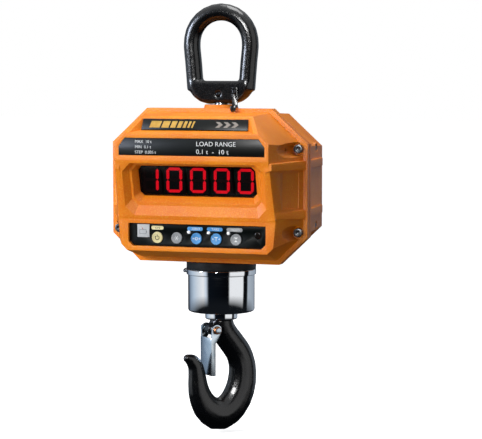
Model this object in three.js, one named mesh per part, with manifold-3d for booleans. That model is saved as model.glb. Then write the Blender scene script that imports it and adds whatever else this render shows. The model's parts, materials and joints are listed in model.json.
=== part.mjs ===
// Hanging crane scale, 10 t: suspension ring, octagonal die-cast housing with a red LED readout and
// five keys, load cell inside, chromed swivel cup, and a swivel hook with a sprung safety latch.
// Millimetres, +Z up, -Y is the side with the display. The origin is the crown inside the ring,
// the line on which the crane's hook carries the scale.

import * as THREE from "three";
import { mergeVertices } from "three/addons/utils/BufferGeometryUtils.js";
import { ConvexGeometry } from "three/addons/geometries/ConvexGeometry.js";
import Module from "manifold-3d";

const wasm = await Module();
wasm.setup();

// ---------------------------------------------------------------- driving dimensions

const GAP = 0.3; // clearance between pieces that touch
const FIT = 0.4; // radial clearance of turning and sliding pieces

// Suspension ring
const RING_BAR = 26; // bar diameter
const RING_INNER_WIDTH = 66; // clear width of the arch
const RING_BASE_WIDTH = 57; // clear width at the flat base
const RING_EYE_HEIGHT = 89.7; // crown to flat base
const RING_BLOCK_HEIGHT = 34.8; // depth of the heavy base block
const RING_BLOCK_FOOT = 40; // flat foot of the block
const RING_BLOCK_THICK = 28; // block thickness along Y
const RING_BLOCK_ROUND = 12; // how far its faces stand in front of its outline
const STUD_D = 20; // threaded stud that the block screws onto
const STUD_DEPTH = 24; // thread length in the block
const CROSS_PIN_D = 6;

// Housing
const HOUSING_TOP = -129.5; // top of the flange
const HOUSING_HEIGHT = 228;
const HOUSING_HALF_WIDTH = 152;
const HOUSING_BOTTOM = HOUSING_TOP - HOUSING_HEIGHT;
const FLANGE_UPPER_CHAMFER = [55, 50.6]; // along X, along Z
const FLANGE_LOWER_CHAMFER = [43, 41];
const FLANGE_THICK = 8;
const FLANGE_LIP = 6; // how far the flange stands out of the shells
const SEAM_Y = -48; // middle of the gasket between the halves
const GASKET_THICK = 1.6;
const WALL = 4;
const REAR_Y = 65; // outer face of the rear wall
const REAR_TAPER_X = 7; // each side comes in by this much at the rear wall
const REAR_TAPER_Z = 4;
const BOSS_RADIUS = 24.5; // boss under the ring's foot
const BOSS_HEIGHT = 4.4; // above the flange
const BOSS_ROOT = 7; // below the flange's top, inside the shell

// Front bezel, seen from the side as a folded face
const BEZEL_HALF_WIDTH = HOUSING_HALF_WIDTH - 35;
const BEZEL_TOP = -139.4;
const BEZEL_TOP_HALF = BEZEL_HALF_WIDTH - 31;
const BEZEL_CHAMFER_END = -178; // where the upper corner cut meets the side
const BEZEL_BOTTOM = HOUSING_BOTTOM + 20.5;
const BEZEL_LOWER_CUT = 9;
const NAME_Y = -110; // top edge of the name face
const BROW_Y = -135; // the most forward, vertical capacity face
const BROW_TOP = -164;
const BROW_BOTTOM = -203;
const KEY_PANEL_LOW = BEZEL_BOTTOM + 7;
const KEY_PANEL_HIGH = KEY_PANEL_LOW + 33;
const SILL_Z = KEY_PANEL_HIGH + 6; // foot of the leaning display face
const KEYS_Y = -112; // vertical key face

// Side ribs and ears
const RIB_CENTRES = [BROW_BOTTOM - 8, SILL_Z + 9];
const RIB_HEIGHT = 15;
const RIB_PROUD = 4;
const SIDE_RECESS = 3;

// Plates, window and keys
const NAME_PLATE = { half: BEZEL_TOP_HALF - 5, low: -160, high: -143, topY: -113, lowY: -119, thick: 1.2 };
const CAPACITY_PLATE = { half: BEZEL_HALF_WIDTH - 6, low: -196, high: -171, cut: 9, thick: 1.2 };
const WINDOW = { half: BEZEL_HALF_WIDTH - 27, low: -261.7, high: -216.4, cut: 6, thick: 3 };
const DISPLAY_MOUTH = { half: BEZEL_HALF_WIDTH - 9, low: SILL_Z + 2, high: BROW_BOTTOM - 4 };
const LEDGE_DEPTH = 9; // depth of the step inside the display mouth
const WINDOW_DEPTH = 19;
const KEY_PANEL = {
  half: BEZEL_HALF_WIDTH - 11.5, low: KEY_PANEL_LOW, high: KEY_PANEL_HIGH, cut: 7, thick: 1.5,
};
const KEY_PANEL_LIP = 2.4; // width of the ledge that carries the panel
const KEY_RECESS = 5;
const KEY_D = 16.5;
const KEY_SKIRT = 1.2; // behind the panel, round each key
const KEY_PITCH = (KEY_PANEL.half - 14.3) / 3;
const KEY_FIRST_X = 43.5 - KEY_PANEL.half;
const KEY_Z = KEY_PANEL.low + KEY_PANEL_LIP + KEY_D / 2 + KEY_SKIRT + 0.65;
const KEY_PROUD = 1.6;
const LAMP_D = 5;
const IR_D = 11;
const DIGIT_HEIGHT = 38.1; // 1.5-inch seven-segment modules
const DIGIT_PITCH = (WINDOW.half - 16.8) / 2;
const DIGIT_WIDTH = DIGIT_PITCH - 4.6;
const DIGIT_DEPTH = 9;

// Fasteners
const SCREW_M8 = { shank: 8, head: 13, headHeight: 8, key: 6 };
const SCREW_PLACES = { x: HOUSING_HALF_WIDTH - 12.5, upper: -187, lower: HOUSING_BOTTOM + 48.5 };
const SIDE_SCREW = {
  shank: 4, head: 7, headHeight: 2.6, y: 25, upper: -189.5, lower: HOUSING_BOTTOM + 53,
};

// Load cell and swivel
const CELL_D = 56;
const CELL_TOP = -144;
const CELL_BOTTOM = HOUSING_BOTTOM + 21.5;
const COLLAR_TOP = HOUSING_BOTTOM - 0.5;
const COLLAR_BOTTOM = COLLAR_TOP - 14;
const BAND_HEIGHT = 8;
const BAND_WALL = 2;
const CUP_D = 100.6;
const CUP_BOTTOM = COLLAR_TOP - 78;
const COLLAR_D = CUP_D + 4.4;
const CUP_WALL = 10;
const CUP_FLOOR = 16;
const HEAD_DISC_HEIGHT = 18; // disc that joins the load cell to the cup
const HOOK_COLLAR_D = 49;
const HOOK_COLLAR_HEIGHT = 12;
const NECK_D = 36.7;
const SHANK_D = 30;

// Hook
const HOOK_COLLAR_TOP = CUP_BOTTOM - GAP;
const NECK_TOP = HOOK_COLLAR_TOP - HOOK_COLLAR_HEIGHT - GAP;
const HOOK_TURN = THREE.MathUtils.degToRad(47); // how far the hook's plane is swung from the front
const LATCH_PIVOT = [-17, NECK_TOP - 14.4];
const LATCH_WEB_U = -26.2;
const LATCH_END = NECK_TOP - 83.4;
const LATCH_WIDTH = 36;
const LATCH_SHEET = 2.5;
const LATCH_FLANGE = 7;
const LATCH_PIN_D = 8;

// Battery door
const DOOR = { half: HOUSING_HALF_WIDTH - 74, low: -322, high: -222, thick: 3 };
const DOOR_LEDGE = 6; // the door laps the opening by this much
const HINGE_RADIUS = 3.6;
const HINGE_PIN_D = 3;

// ---------------------------------------------------------------- solids

function solid(geometry) {
  const bare = geometry.clone();
  bare.deleteAttribute("normal");
  bare.deleteAttribute("uv");
  const merged = mergeVertices(bare, 1e-4);
  return new wasm.Manifold(new wasm.Mesh({
    numProp: 3,
    vertProperties: new Float32Array(merged.attributes.position.array),
    triVerts: new Uint32Array(merged.index.array),
  }));
}

function join(first, ...others) {
  return others.reduce((whole, other) => whole.add(other), first);
}

function cut(first, ...others) {
  return others.reduce((whole, other) => whole.subtract(other), first);
}

function geometryOf(manifold) {
  const mesh = manifold.getMesh();
  const geometry = new THREE.BufferGeometry();
  geometry.setAttribute("position", new THREE.BufferAttribute(mesh.vertProperties, 3));
  geometry.setIndex(new THREE.BufferAttribute(mesh.triVerts, 1));
  return geometry;
}

function box(x0, x1, y0, y1, z0, z1) {
  const geometry = new THREE.BoxGeometry(x1 - x0, y1 - y0, z1 - z0);
  geometry.translate((x0 + x1) / 2, (y0 + y1) / 2, (z0 + z1) / 2);
  return solid(geometry);
}

function shapeOf(points) {
  return new THREE.Shape(points.map(([a, b]) => new THREE.Vector2(a, b)));
}

// An outline in X and Z, given depth from y0 to y1.
function slab(points, y0, y1) {
  const geometry = new THREE.ExtrudeGeometry(shapeOf(points), { depth: y1 - y0, bevelEnabled: false });
  geometry.rotateX(Math.PI / 2);
  geometry.translate(0, y1, 0);
  return solid(geometry);
}

// An outline in Y and Z, given width from x0 to x1.
function crossSlab(points, x0, x1) {
  const geometry = new THREE.ExtrudeGeometry(shapeOf(points), { depth: x1 - x0, bevelEnabled: false });
  geometry.applyMatrix4(new THREE.Matrix4().set(0, 0, 1, x0, 1, 0, 0, 0, 0, 1, 0, 0, 0, 0, 0, 1));
  return solid(geometry);
}

function hull(points) {
  return solid(new ConvexGeometry(points.map(([x, y, z]) => new THREE.Vector3(x, y, z))));
}

// A profile of [radius, height] pairs turned about Z.
function turned(profile, sides = 32) {
  const geometry = new THREE.LatheGeometry(profile.map(([r, z]) => new THREE.Vector2(r, z)), sides);
  geometry.rotateX(Math.PI / 2);
  return solid(geometry);
}

const AXES = { x: [0, Math.PI / 2, 0], y: [-Math.PI / 2, 0, 0], z: [0, 0, 0] };

// A round rod or cone centred on a point, along one of the axes; the first radius is at the low end.
function rod(axis, length, at, radius, endRadius = radius, sides = 16) {
  const geometry = new THREE.CylinderGeometry(endRadius, radius, length, sides);
  geometry.rotateX(Math.PI / 2);
  const [rx, ry] = AXES[axis];
  geometry.rotateX(rx);
  geometry.rotateY(ry);
  geometry.translate(...at);
  return solid(geometry);
}

// Both sides of an outline that is the same left and right.
function mirrored(half) {
  return [...half, ...half.map(([x, z]) => [-x, z]).reverse()];
}

const group = new THREE.Group();

function place(name, manifold, material) {
  const mesh = new THREE.Mesh(geometryOf(manifold), material);
  mesh.name = name;
  group.add(mesh);
  return mesh;
}

// ---------------------------------------------------------------- materials

const finish = (color, roughness, metalness) =>
  new THREE.MeshStandardMaterial({ color, roughness, metalness });
const orange = finish(0xf28a1a, 0.45, 0);
const blackEnamel = finish(0x101216, 0.15, 0);
const steel = finish(0x8d9094, 0.35, 1);
const chrome = finish(0xd8dade, 0.06, 1);
const blackRubber = finish(0x15181a, 0.7, 0);
const blackPlastic = finish(0x0a0d0e, 0.25, 0);
const darkGlass = finish(0x050808, 0.05, 0);
const redLed = finish(0xd00a2a, 0.4, 0);
const board = finish(0x1d5a33, 0.6, 0);
const cream = finish(0xe9dfae, 0.4, 0);
const grey = finish(0x8e9192, 0.4, 0);
const blue = finish(0x5aa0dc, 0.4, 0);
const white = finish(0xf2f2f0, 0.3, 0);

// ---------------------------------------------------------------- housing outlines

const FRONT_FLANGE_Y = SEAM_Y - GASKET_THICK / 2 - GAP;
const REAR_FLANGE_Y = SEAM_Y + GASKET_THICK / 2 + GAP;
const FLANGE_FACE_Y = FRONT_FLANGE_Y - FLANGE_THICK;
const REAR_FLANGE_BACK = REAR_FLANGE_Y + FLANGE_THICK;

// The housing's eight-sided outline, drawn in by an inset all round.
function octagon(inset) {
  const half = HOUSING_HALF_WIDTH - inset;
  const top = HOUSING_TOP - inset;
  const bottom = HOUSING_BOTTOM + inset;
  const [ux, uz] = FLANGE_UPPER_CHAMFER;
  const [lx, lz] = FLANGE_LOWER_CHAMFER;
  const ease = inset * 0.42; // keeps each wall as thick on the corner cuts
  return mirrored([
    [half - ux + ease, top],
    [half, top - uz + ease],
    [half, bottom + lz - ease],
    [half - lx + ease, bottom],
  ]);
}

const at = (outline, y) => outline.map(([x, z]) => [x, y, z]);

// Folded front face from top to bottom as [half-width, y, z].
function bezelPoints(inset) {
  const rows = [
    [BEZEL_TOP_HALF, NAME_Y, BEZEL_TOP],
    [(BEZEL_TOP_HALF + BEZEL_HALF_WIDTH) / 2, BROW_Y, BROW_TOP],
    [BEZEL_HALF_WIDTH, BROW_Y, BEZEL_CHAMFER_END],
    [BEZEL_HALF_WIDTH, BROW_Y, BROW_BOTTOM],
    [BEZEL_HALF_WIDTH, KEYS_Y, BEZEL_BOTTOM + BEZEL_LOWER_CUT],
    [BEZEL_HALF_WIDTH - BEZEL_LOWER_CUT, KEYS_Y, BEZEL_BOTTOM],
  ];
  const middle = (BEZEL_TOP + BEZEL_BOTTOM) / 2;
  return rows.flatMap(([half, y, z]) => {
    const x = half - inset;
    const inward = z > middle ? z - inset * 0.6 : z + inset * 0.6;
    return [[x, y + inset, inward], [-x, y + inset, inward]];
  });
}

// Everything in front of the face, where it folds inwards above the keys.
function faceCutter(inset) {
  return crossSlab([
    [BROW_Y + inset - 60, BROW_BOTTOM],
    [BROW_Y + inset, BROW_BOTTOM],
    [KEYS_Y + inset, SILL_Z],
    [KEYS_Y + inset, BEZEL_BOTTOM - 20],
    [BROW_Y + inset - 60, BEZEL_BOTTOM - 20],
  ], -HOUSING_HALF_WIDTH, HOUSING_HALF_WIDTH);
}

function frontBody(inset) {
  const ring = at(octagon(FLANGE_LIP + inset), FLANGE_FACE_Y + 1);
  return cut(hull([...bezelPoints(inset), ...ring]), faceCutter(inset));
}

function rearBody(inset, backY) {
  const near = octagon(FLANGE_LIP + inset);
  const far = near.map(([x, z]) => [
    x - Math.sign(x) * REAR_TAPER_X,
    z > (HOUSING_TOP + HOUSING_BOTTOM) / 2 ? z - REAR_TAPER_Z : z + REAR_TAPER_Z,
  ]);
  return hull([...at(near, REAR_FLANGE_Y), ...at(far, backY)]);
}

// The leaning display face: depth 0 on the face, measured inwards square to it.
const FACE_LEAN = Math.atan2(KEYS_Y - BROW_Y, BROW_BOTTOM - SILL_Z);

function onFace(x, z, depth) {
  const faceY = BROW_Y + (BROW_BOTTOM - z) * Math.tan(FACE_LEAN);
  return [x, faceY + depth * Math.cos(FACE_LEAN), z + depth * Math.sin(FACE_LEAN)];
}

function cutCorners({ half, low, high, cut: size }, spare = 0) {
  return mirrored([
    [half + spare - size, high + spare],
    [half + spare, high + spare - size],
    [half + spare, low - spare + size],
    [half + spare - size, low - spare],
  ]);
}

// A tapering block square to the leaning face, from one outline and depth to another.
function faceBlock(outer, outerDepth, inner, innerDepth) {
  return hull([
    ...cutCorners(outer).map(([x, z]) => onFace(x, z, outerDepth)),
    ...cutCorners(inner).map(([x, z]) => onFace(x, z, innerDepth)),
  ]);
}

// ---------------------------------------------------------------- housing

const SCREW_SPOTS = {
  upper_left: [-SCREW_PLACES.x, SCREW_PLACES.upper],
  upper_right: [SCREW_PLACES.x, SCREW_PLACES.upper],
  lower_left: [-SCREW_PLACES.x, SCREW_PLACES.lower],
  lower_right: [SCREW_PLACES.x, SCREW_PLACES.lower],
};
const SIDE_SPOTS = {
  upper_left: [-1, SIDE_SCREW.upper],
  upper_right: [1, SIDE_SCREW.upper],
  lower_left: [-1, SIDE_SCREW.lower],
  lower_right: [1, SIDE_SCREW.lower],
};

// Half-width of the rear shell's outer side at a depth y.
function rearSideX(y) {
  const share = (y - REAR_FLANGE_Y) / (REAR_Y - REAR_FLANGE_Y);
  return HOUSING_HALF_WIDTH - FLANGE_LIP - REAR_TAPER_X * share;
}

function frontRib(side, centre) {
  const rows = [centre + RIB_HEIGHT / 2, centre - RIB_HEIGHT / 2];
  const front = centre > -250 ? BROW_Y + 2 : onFace(0, centre, 0)[1] + 1;
  const root = BEZEL_HALF_WIDTH - 6;
  const foot = HOUSING_HALF_WIDTH - FLANGE_LIP;
  return hull(rows.flatMap((z) => {
    const ease = z === rows[0] ? -3 : 3;
    return [
      [side * root, front, z],
      [side * (BEZEL_HALF_WIDTH + RIB_PROUD), front, z + ease],
      [side * (BEZEL_HALF_WIDTH + RIB_PROUD + 1), front + 7, z + ease],
      [side * (foot + RIB_PROUD), FLANGE_FACE_Y + 1, z + ease / 3],
      [side * (foot - 10), FLANGE_FACE_Y + 1, z],
      [side * root, front + 30, z],
    ];
  }));
}

function frontSideRecess(side) {
  const high = RIB_CENTRES[0] - RIB_HEIGHT / 2 - 2;
  const low = RIB_CENTRES[1] + RIB_HEIGHT / 2 + 2;
  const foot = HOUSING_HALF_WIDTH - FLANGE_LIP;
  const slope = (foot - BEZEL_HALF_WIDTH) / (FLANGE_FACE_Y - BROW_Y);
  const sideX = (y) => BEZEL_HALF_WIDTH + (y - BROW_Y) * slope;
  const nearY = -108;
  const farY = FLANGE_FACE_Y - 6;
  return hull([high, low].flatMap((z) => [
    [side * (sideX(nearY) + 10), nearY - 6, z],
    [side * (sideX(nearY) - 1), nearY, z],
    [side * (sideX(nearY + 8) - SIDE_RECESS), nearY + 8, z],
    [side * (sideX(farY) - SIDE_RECESS), farY - 4, z],
    [side * (sideX(farY) + 12), farY, z],
  ]));
}

// Scooped well that lets the screw's head reach the flange.
function screwScoop([x, z]) {
  const depth = BROW_Y + 15 - FLANGE_FACE_Y;
  const head = SCREW_M8.head / 2 + 3;
  return rod("y", -depth, [x, FLANGE_FACE_Y + depth / 2, z], head + 7, head);
}

function nameRecess() {
  const { half, low, high, topY, lowY } = NAME_PLATE;
  const reach = BROW_Y - 15;
  return hull([1, -1].flatMap((side) => [
    [side * half, topY, high],
    [side * (half + 1), lowY, low],
    [side * half, reach, high + 1],
    [side * (half + 28), reach, low - 7],
  ]));
}

function frontHousing() {
  let shell = join(
    slab(octagon(0), FLANGE_FACE_Y, FRONT_FLANGE_Y),
    frontBody(0),
    ...[1, -1].flatMap((side) => RIB_CENTRES.map((z) => frontRib(side, z))),
  );
  shell = cut(shell, ...[1, -1].map(frontSideRecess), ...Object.values(SCREW_SPOTS).map(screwScoop));
  shell = cut(
    shell,
    frontBody(WALL + SIDE_RECESS),
    slab(octagon(FLANGE_LIP + WALL + SIDE_RECESS), FLANGE_FACE_Y - 0.5, FRONT_FLANGE_Y + 1),
  );
  const posts = Object.values(SCREW_SPOTS).map(([x, z]) =>
    rod("y", FRONT_FLANGE_Y - NAME_Y, [x, (FRONT_FLANGE_Y + NAME_Y) / 2, z], SCREW_M8.head / 2 + 6));
  const postsInside = posts.map((post) => post.intersect(frontBody(0.5)));
  const mouth = { ...DISPLAY_MOUTH, cut: 14 };
  const ledge = { half: mouth.half - 8, low: mouth.low + 16, high: mouth.high - 4, cut: 9 };
  const inner = { half: mouth.half - 11, low: mouth.low + 20, high: mouth.high - 6.5, cut: 8 };
  const moduleBay = { ...WINDOW, cut: 0.5 };
  const pan = { half: mouth.half + 4, low: mouth.low - 4, high: mouth.high + 4, cut: 10 };
  shell = join(shell, faceBlock(pan, 1, pan, WINDOW_DEPTH + 6), ...postsInside);
  shell = cut(
    shell,
    ...Object.values(SCREW_SPOTS).map(screwScoop),
    faceBlock({ ...mouth, half: mouth.half + 3 }, -3, ledge, LEDGE_DEPTH),
    faceBlock(inner, LEDGE_DEPTH - 0.5, WINDOW, WINDOW_DEPTH),
    faceBlock(WINDOW, WINDOW_DEPTH - 1, WINDOW, WINDOW_DEPTH + WINDOW.thick + GAP),
    faceBlock(moduleBay, WINDOW_DEPTH + WINDOW.thick, moduleBay, WINDOW_DEPTH + 9),
    nameRecess(),
    slab(capacityOutline(GAP), BROW_Y - 1, BROW_Y + CAPACITY_PLATE.thick + GAP),
    slab(cutCornersBelow(KEY_PANEL, GAP), KEYS_Y - 1, KEYS_Y + KEY_RECESS + KEY_PANEL.thick + GAP),
    slab(cutCornersBelow(KEY_PANEL, -KEY_PANEL_LIP), KEYS_Y, KEYS_Y + 30),
    ...Object.values(SCREW_SPOTS).map(([x, z]) =>
      rod("y", 30, [x, FLANGE_FACE_Y, z], SCREW_M8.shank / 2 + FIT)),
  );
  return shell;
}

function capacityOutline(spare) {
  const { half, low, high, cut: size } = CAPACITY_PLATE;
  return mirrored([[half + spare - size, high + spare], [half + spare, high + spare - size * 1.35],
    [half + spare, low - spare]]);
}

function cutCornersBelow({ half, low, high, cut: size }, spare) {
  return mirrored([[half + spare, high + spare], [half + spare, low - spare + size],
    [half + spare - size, low - spare]]);
}

// Clear bore for the load cell's lower stud.
function collarCut() {
  return rod("z", 40, [0, 0, HOUSING_BOTTOM], CELL_D / 2 + 6, CELL_D / 2 + 6, 32);
}

function gasket() {
  const y0 = SEAM_Y - GASKET_THICK / 2;
  const y1 = SEAM_Y + GASKET_THICK / 2;
  return cut(
    slab(octagon(0.8), y0, y1),
    slab(octagon(FLANGE_LIP + WALL + SIDE_RECESS), y0 - 1, y1 + 1),
    ...Object.values(SCREW_SPOTS).map(([x, z]) =>
      rod("y", 30, [x, SEAM_Y, z], SCREW_M8.shank / 2 + FIT)),
  );
}

function sideScoop([side, z]) {
  const outer = rearSideX(SIDE_SCREW.y);
  const head = SIDE_SCREW.head / 2 + 1;
  const radii = side > 0 ? [head, head + 7] : [head + 7, head];
  return rod("x", 14, [side * (outer + 3.7), SIDE_SCREW.y, z], ...radii, 16);
}

function doorOpening(spare) {
  const { half, low, high } = DOOR;
  return [half - DOOR_LEDGE + spare, low + DOOR_LEDGE - spare, high - DOOR_LEDGE + spare];
}

function rearHousing() {
  const rib = ([side, centre]) => hull([0, 1].flatMap((end) => {
    const y = end ? REAR_Y - 10 : REAR_FLANGE_BACK - 1;
    const x = rearSideX(y);
    return [-1, 1].flatMap((up) => [
      [side * (x - 2), y, centre + up * RIB_HEIGHT / 2],
      [side * (x + RIB_PROUD - 1), y, centre + up * (RIB_HEIGHT / 2 - 2)],
    ]);
  }));
  const ribs = [1, -1].flatMap((side) => RIB_CENTRES.map((z) => rib([side, z])));
  let shell = join(slab(octagon(0), REAR_FLANGE_Y, REAR_FLANGE_BACK), rearBody(0, REAR_Y), ...ribs);
  shell = cut(shell, rearBody(WALL, REAR_Y - WALL), slab(octagon(FLANGE_LIP + WALL + SIDE_RECESS),
    REAR_FLANGE_Y - 1, REAR_FLANGE_Y + 3));
  const posts = Object.values(SCREW_SPOTS).map(([x, z]) =>
    rod("y", 26, [x, REAR_FLANGE_Y + 13, z], SCREW_M8.head / 2 + 1));
  const [half, low, high] = doorOpening(0);
  const bossMiddle = HOUSING_TOP + (BOSS_HEIGHT - BOSS_ROOT) / 2;
  const boss = rod("z", BOSS_HEIGHT + BOSS_ROOT, [0, 0, bossMiddle], BOSS_RADIUS + 3, BOSS_RADIUS, 32);
  const sidePads = Object.values(SIDE_SPOTS).map(([side, z]) => {
    const x = rearSideX(SIDE_SCREW.y);
    return rod("x", 12, [side * (x - 6.5), SIDE_SCREW.y, z], SIDE_SCREW.head / 2 + 5);
  });
  const skirt = rod("z", 12, [0, 0, HOUSING_BOTTOM + 6], COLLAR_D / 2 + 2, COLLAR_D / 2 + 4, 40)
    .intersect(box(-80, 80, REAR_FLANGE_Y, REAR_Y, HOUSING_BOTTOM, HOUSING_BOTTOM + 20));
  shell = join(shell, ...posts, ...sidePads, boss, skirt, ...hingeKnuckles([-1, 1]));
  return cut(
    shell,
    ...Object.values(SIDE_SPOTS).map(sideScoop),
    ...Object.values(SIDE_SPOTS).map(([side, z]) =>
      rod("x", 60, [side * rearSideX(0), SIDE_SCREW.y, z], SIDE_SCREW.shank / 2 + FIT)),
    ...Object.values(SCREW_SPOTS).map(([x, z]) =>
      rod("y", 44, [x, REAR_FLANGE_Y + 1, z], SCREW_M8.shank / 2 + GAP)),
    box(-half, half, REAR_Y - 20, REAR_Y + 1, low, high),
    rod("z", 60, [0, 0, HOUSING_TOP], STUD_D / 2 + 4),
    collarCut(),
    doorLockCut(),
    hingePinCut(),
  );
}

// ---------------------------------------------------------------- battery door

const DOOR_MID = (DOOR.low + DOOR.high) / 2;
const HINGE_X = -(DOOR.half + HINGE_RADIUS + 1);
const HINGE_Y = REAR_Y + HINGE_RADIUS + 1;
const KNUCKLE = 14; // length of each knuckle on the housing
const DOOR_KNUCKLE = 36;
const KNUCKLE_STEP = (KNUCKLE + DOOR_KNUCKLE) / 2 + GAP * 2;
const LOCK_X = DOOR.half + 6;
const LOCK = { head: 14, headHeight: 3, shaft: 7, reach: 7, slot: 2 };

function hingeKnuckles(sides) {
  return sides.map((side) => {
    const z = DOOR_MID + side * KNUCKLE_STEP;
    return join(
      rod("z", KNUCKLE, [HINGE_X, HINGE_Y, z], HINGE_RADIUS, HINGE_RADIUS, 20),
      box(HINGE_X - HINGE_RADIUS, HINGE_X + HINGE_RADIUS, REAR_Y - 1, HINGE_Y, z - KNUCKLE / 2,
        z + KNUCKLE / 2),
    );
  });
}

function hingePinCut() {
  return rod("z", 2 * (KNUCKLE_STEP + KNUCKLE), [HINGE_X, HINGE_Y, DOOR_MID], HINGE_PIN_D / 2 + GAP);
}

function doorLockCut() {
  return rod("y", 30, [LOCK_X, REAR_Y, DOOR_MID], LOCK.shaft / 2 + 1);
}

function batteryDoor() {
  const y0 = REAR_Y + GAP;
  const y1 = y0 + DOOR.thick;
  const plate = slab(cutCorners({ ...DOOR, cut: 8 }), y0, y1);
  const panel = slab(cutCorners({ half: DOOR.half - 12, low: DOOR.low + 12, high: DOOR.high - 12, cut: 6 }),
    y1 - 0.5, y1 + 2);
  const [half, low, high] = doorOpening(-1);
  const spigot = slab(cutCorners({ half, low, high, cut: 4 }), REAR_Y - 2, y0 + 0.5);
  const ear = rod("y", DOOR.thick, [LOCK_X, (y0 + y1) / 2, DOOR_MID], LOCK.head / 2 + 2);
  const knuckle = rod("z", DOOR_KNUCKLE, [HINGE_X, HINGE_Y, DOOR_MID], HINGE_RADIUS, HINGE_RADIUS, 20);
  const leaf = box(HINGE_X, -DOOR.half + 10, y0 + 0.4, y1, DOOR_MID - DOOR_KNUCKLE / 2,
    DOOR_MID + DOOR_KNUCKLE / 2);
  return cut(
    join(plate, panel, spigot, ear, knuckle, leaf),
    rod("z", 200, [HINGE_X, HINGE_Y, DOOR_MID], HINGE_PIN_D / 2 + GAP),
    rod("y", 20, [LOCK_X, REAR_Y, DOOR_MID], LOCK.shaft / 2 + FIT),
  );
}

function doorLock() {
  const seat = REAR_Y + GAP + DOOR.thick + GAP;
  const head = rod("y", LOCK.headHeight, [LOCK_X, seat + LOCK.headHeight / 2, DOOR_MID], LOCK.head / 2);
  const shaftLength = seat - REAR_Y + LOCK.reach + 1;
  const shaft = rod("y", shaftLength, [LOCK_X, seat + 1 - shaftLength / 2, DOOR_MID], LOCK.shaft / 2);
  const slot = box(LOCK_X - LOCK.head, LOCK_X + LOCK.head, seat + LOCK.headHeight - 1.4, seat + 9,
    DOOR_MID - LOCK.slot / 2, DOOR_MID + LOCK.slot / 2);
  return cut(join(head, shaft), slot);
}

function hingePin() {
  const length = 2 * KNUCKLE_STEP + KNUCKLE;
  return rod("z", length, [HINGE_X, HINGE_Y, DOOR_MID], HINGE_PIN_D / 2, HINGE_PIN_D / 2, 16);
}

function batteryPack() {
  const [half, low, high] = doorOpening(-5);
  const y1 = REAR_Y - WALL - 1;
  const y0 = y1 - Math.min(22, y1 - CELL_D / 2 - 7);
  const block = slab(cutCorners({ half, low, high, cut: 3 }), y0, y1);
  const terminals = [-1, 1].map((side) =>
    box(side * (half - 17) - 4, side * (half - 17) + 4, y0 + 6, y0 + 14, high - 1, high + 6));
  return join(block, ...terminals);
}

// ---------------------------------------------------------------- screws

function socketScrew([x, z], length) {
  const { shank, head, headHeight, key } = SCREW_M8;
  const seat = FLANGE_FACE_Y - GAP;
  const body = join(
    rod("y", headHeight, [x, seat - headHeight / 2, z], head / 2, head / 2, 20),
    rod("y", length + 1, [x, seat + length / 2 - 0.5, z], shank / 2, shank / 2, 16),
  );
  return cut(body, rod("y", headHeight, [x, seat - headHeight, z], key / 2, key / 2, 6));
}

function sideScrew([side, z]) {
  const { shank, head, headHeight, y } = SIDE_SCREW;
  const seat = rearSideX(y) - 3;
  const body = join(
    rod("x", headHeight, [side * (seat + headHeight / 2), y, z], head / 2, head / 2, 16),
    rod("x", 13, [side * (seat - 6), y, z], shank / 2, shank / 2, 12),
  );
  return cut(body, rod("x", 3, [side * (seat + headHeight), y, z], 1.6, 1.6, 6));
}

// ---------------------------------------------------------------- display and keys

function displayWindow() {
  const { half, low, high, cut: size, thick } = WINDOW;
  const pane = { half: half - GAP, low: low + GAP, high: high - GAP, cut: size };
  return faceBlock(pane, WINDOW_DEPTH + GAP, pane, WINDOW_DEPTH + GAP + thick);
}

const MODULE_DEPTH = WINDOW_DEPTH + WINDOW.thick + 2 * GAP;

function digitModule(index) {
  const x = (index - 2) * DIGIT_PITCH;
  const middle = (WINDOW.low + WINDOW.high) / 2;
  const outline = [1, -1].flatMap((side) => [
    [x + side * DIGIT_WIDTH / 2, middle + side * (DIGIT_HEIGHT / 2 + 2)],
    [x - side * DIGIT_WIDTH / 2, middle + side * (DIGIT_HEIGHT / 2 + 2)],
  ]);
  return hull([MODULE_DEPTH, MODULE_DEPTH + DIGIT_DEPTH].flatMap((depth) =>
    outline.map(([u, z]) => onFace(u, z, depth))));
}

function displayBoard() {
  const near = MODULE_DEPTH + DIGIT_DEPTH + GAP;
  const pane = { half: WINDOW.half + 4, low: WINDOW.low - 4, high: WINDOW.high + 4, cut: 3 };
  return faceBlock(pane, near, pane, near + 1.6);
}

function namePlate() {
  const { half, low, high, topY, lowY, thick } = NAME_PLATE;
  const rows = [[half - 0.6, topY, high - 0.8], [half + 0.3, lowY, low + 0.8]];
  return hull(rows.flatMap(([x, y, z]) => [1, -1].flatMap((side) => [
    [side * x, y - GAP - 0.4, z],
    [side * x, y - GAP - 0.4 - thick, z],
  ])));
}

function capacityPlate() {
  return slab(capacityOutline(0), BROW_Y, BROW_Y + CAPACITY_PLATE.thick);
}

const PANEL_Y = KEYS_Y + KEY_RECESS;
const KEYS = ["power", "light", "zero", "tare", "hold"];
const keyX = (index) => KEY_FIRST_X + index * KEY_PITCH;
const IR_PLACE = [KEY_PANEL.half - 13, KEY_PANEL.low + 19.5];
const lampSpot = (index) => [keyX(index) - 12.2, KEY_PANEL.low + 21.5];
const LAMPS = { zero: lampSpot(2), tare: lampSpot(3), hold: lampSpot(4) };
const BATTERY_LAMP = { x: 22 - KEY_PANEL.half, z: KEY_PANEL.low + 22, size: 19 };

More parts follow.
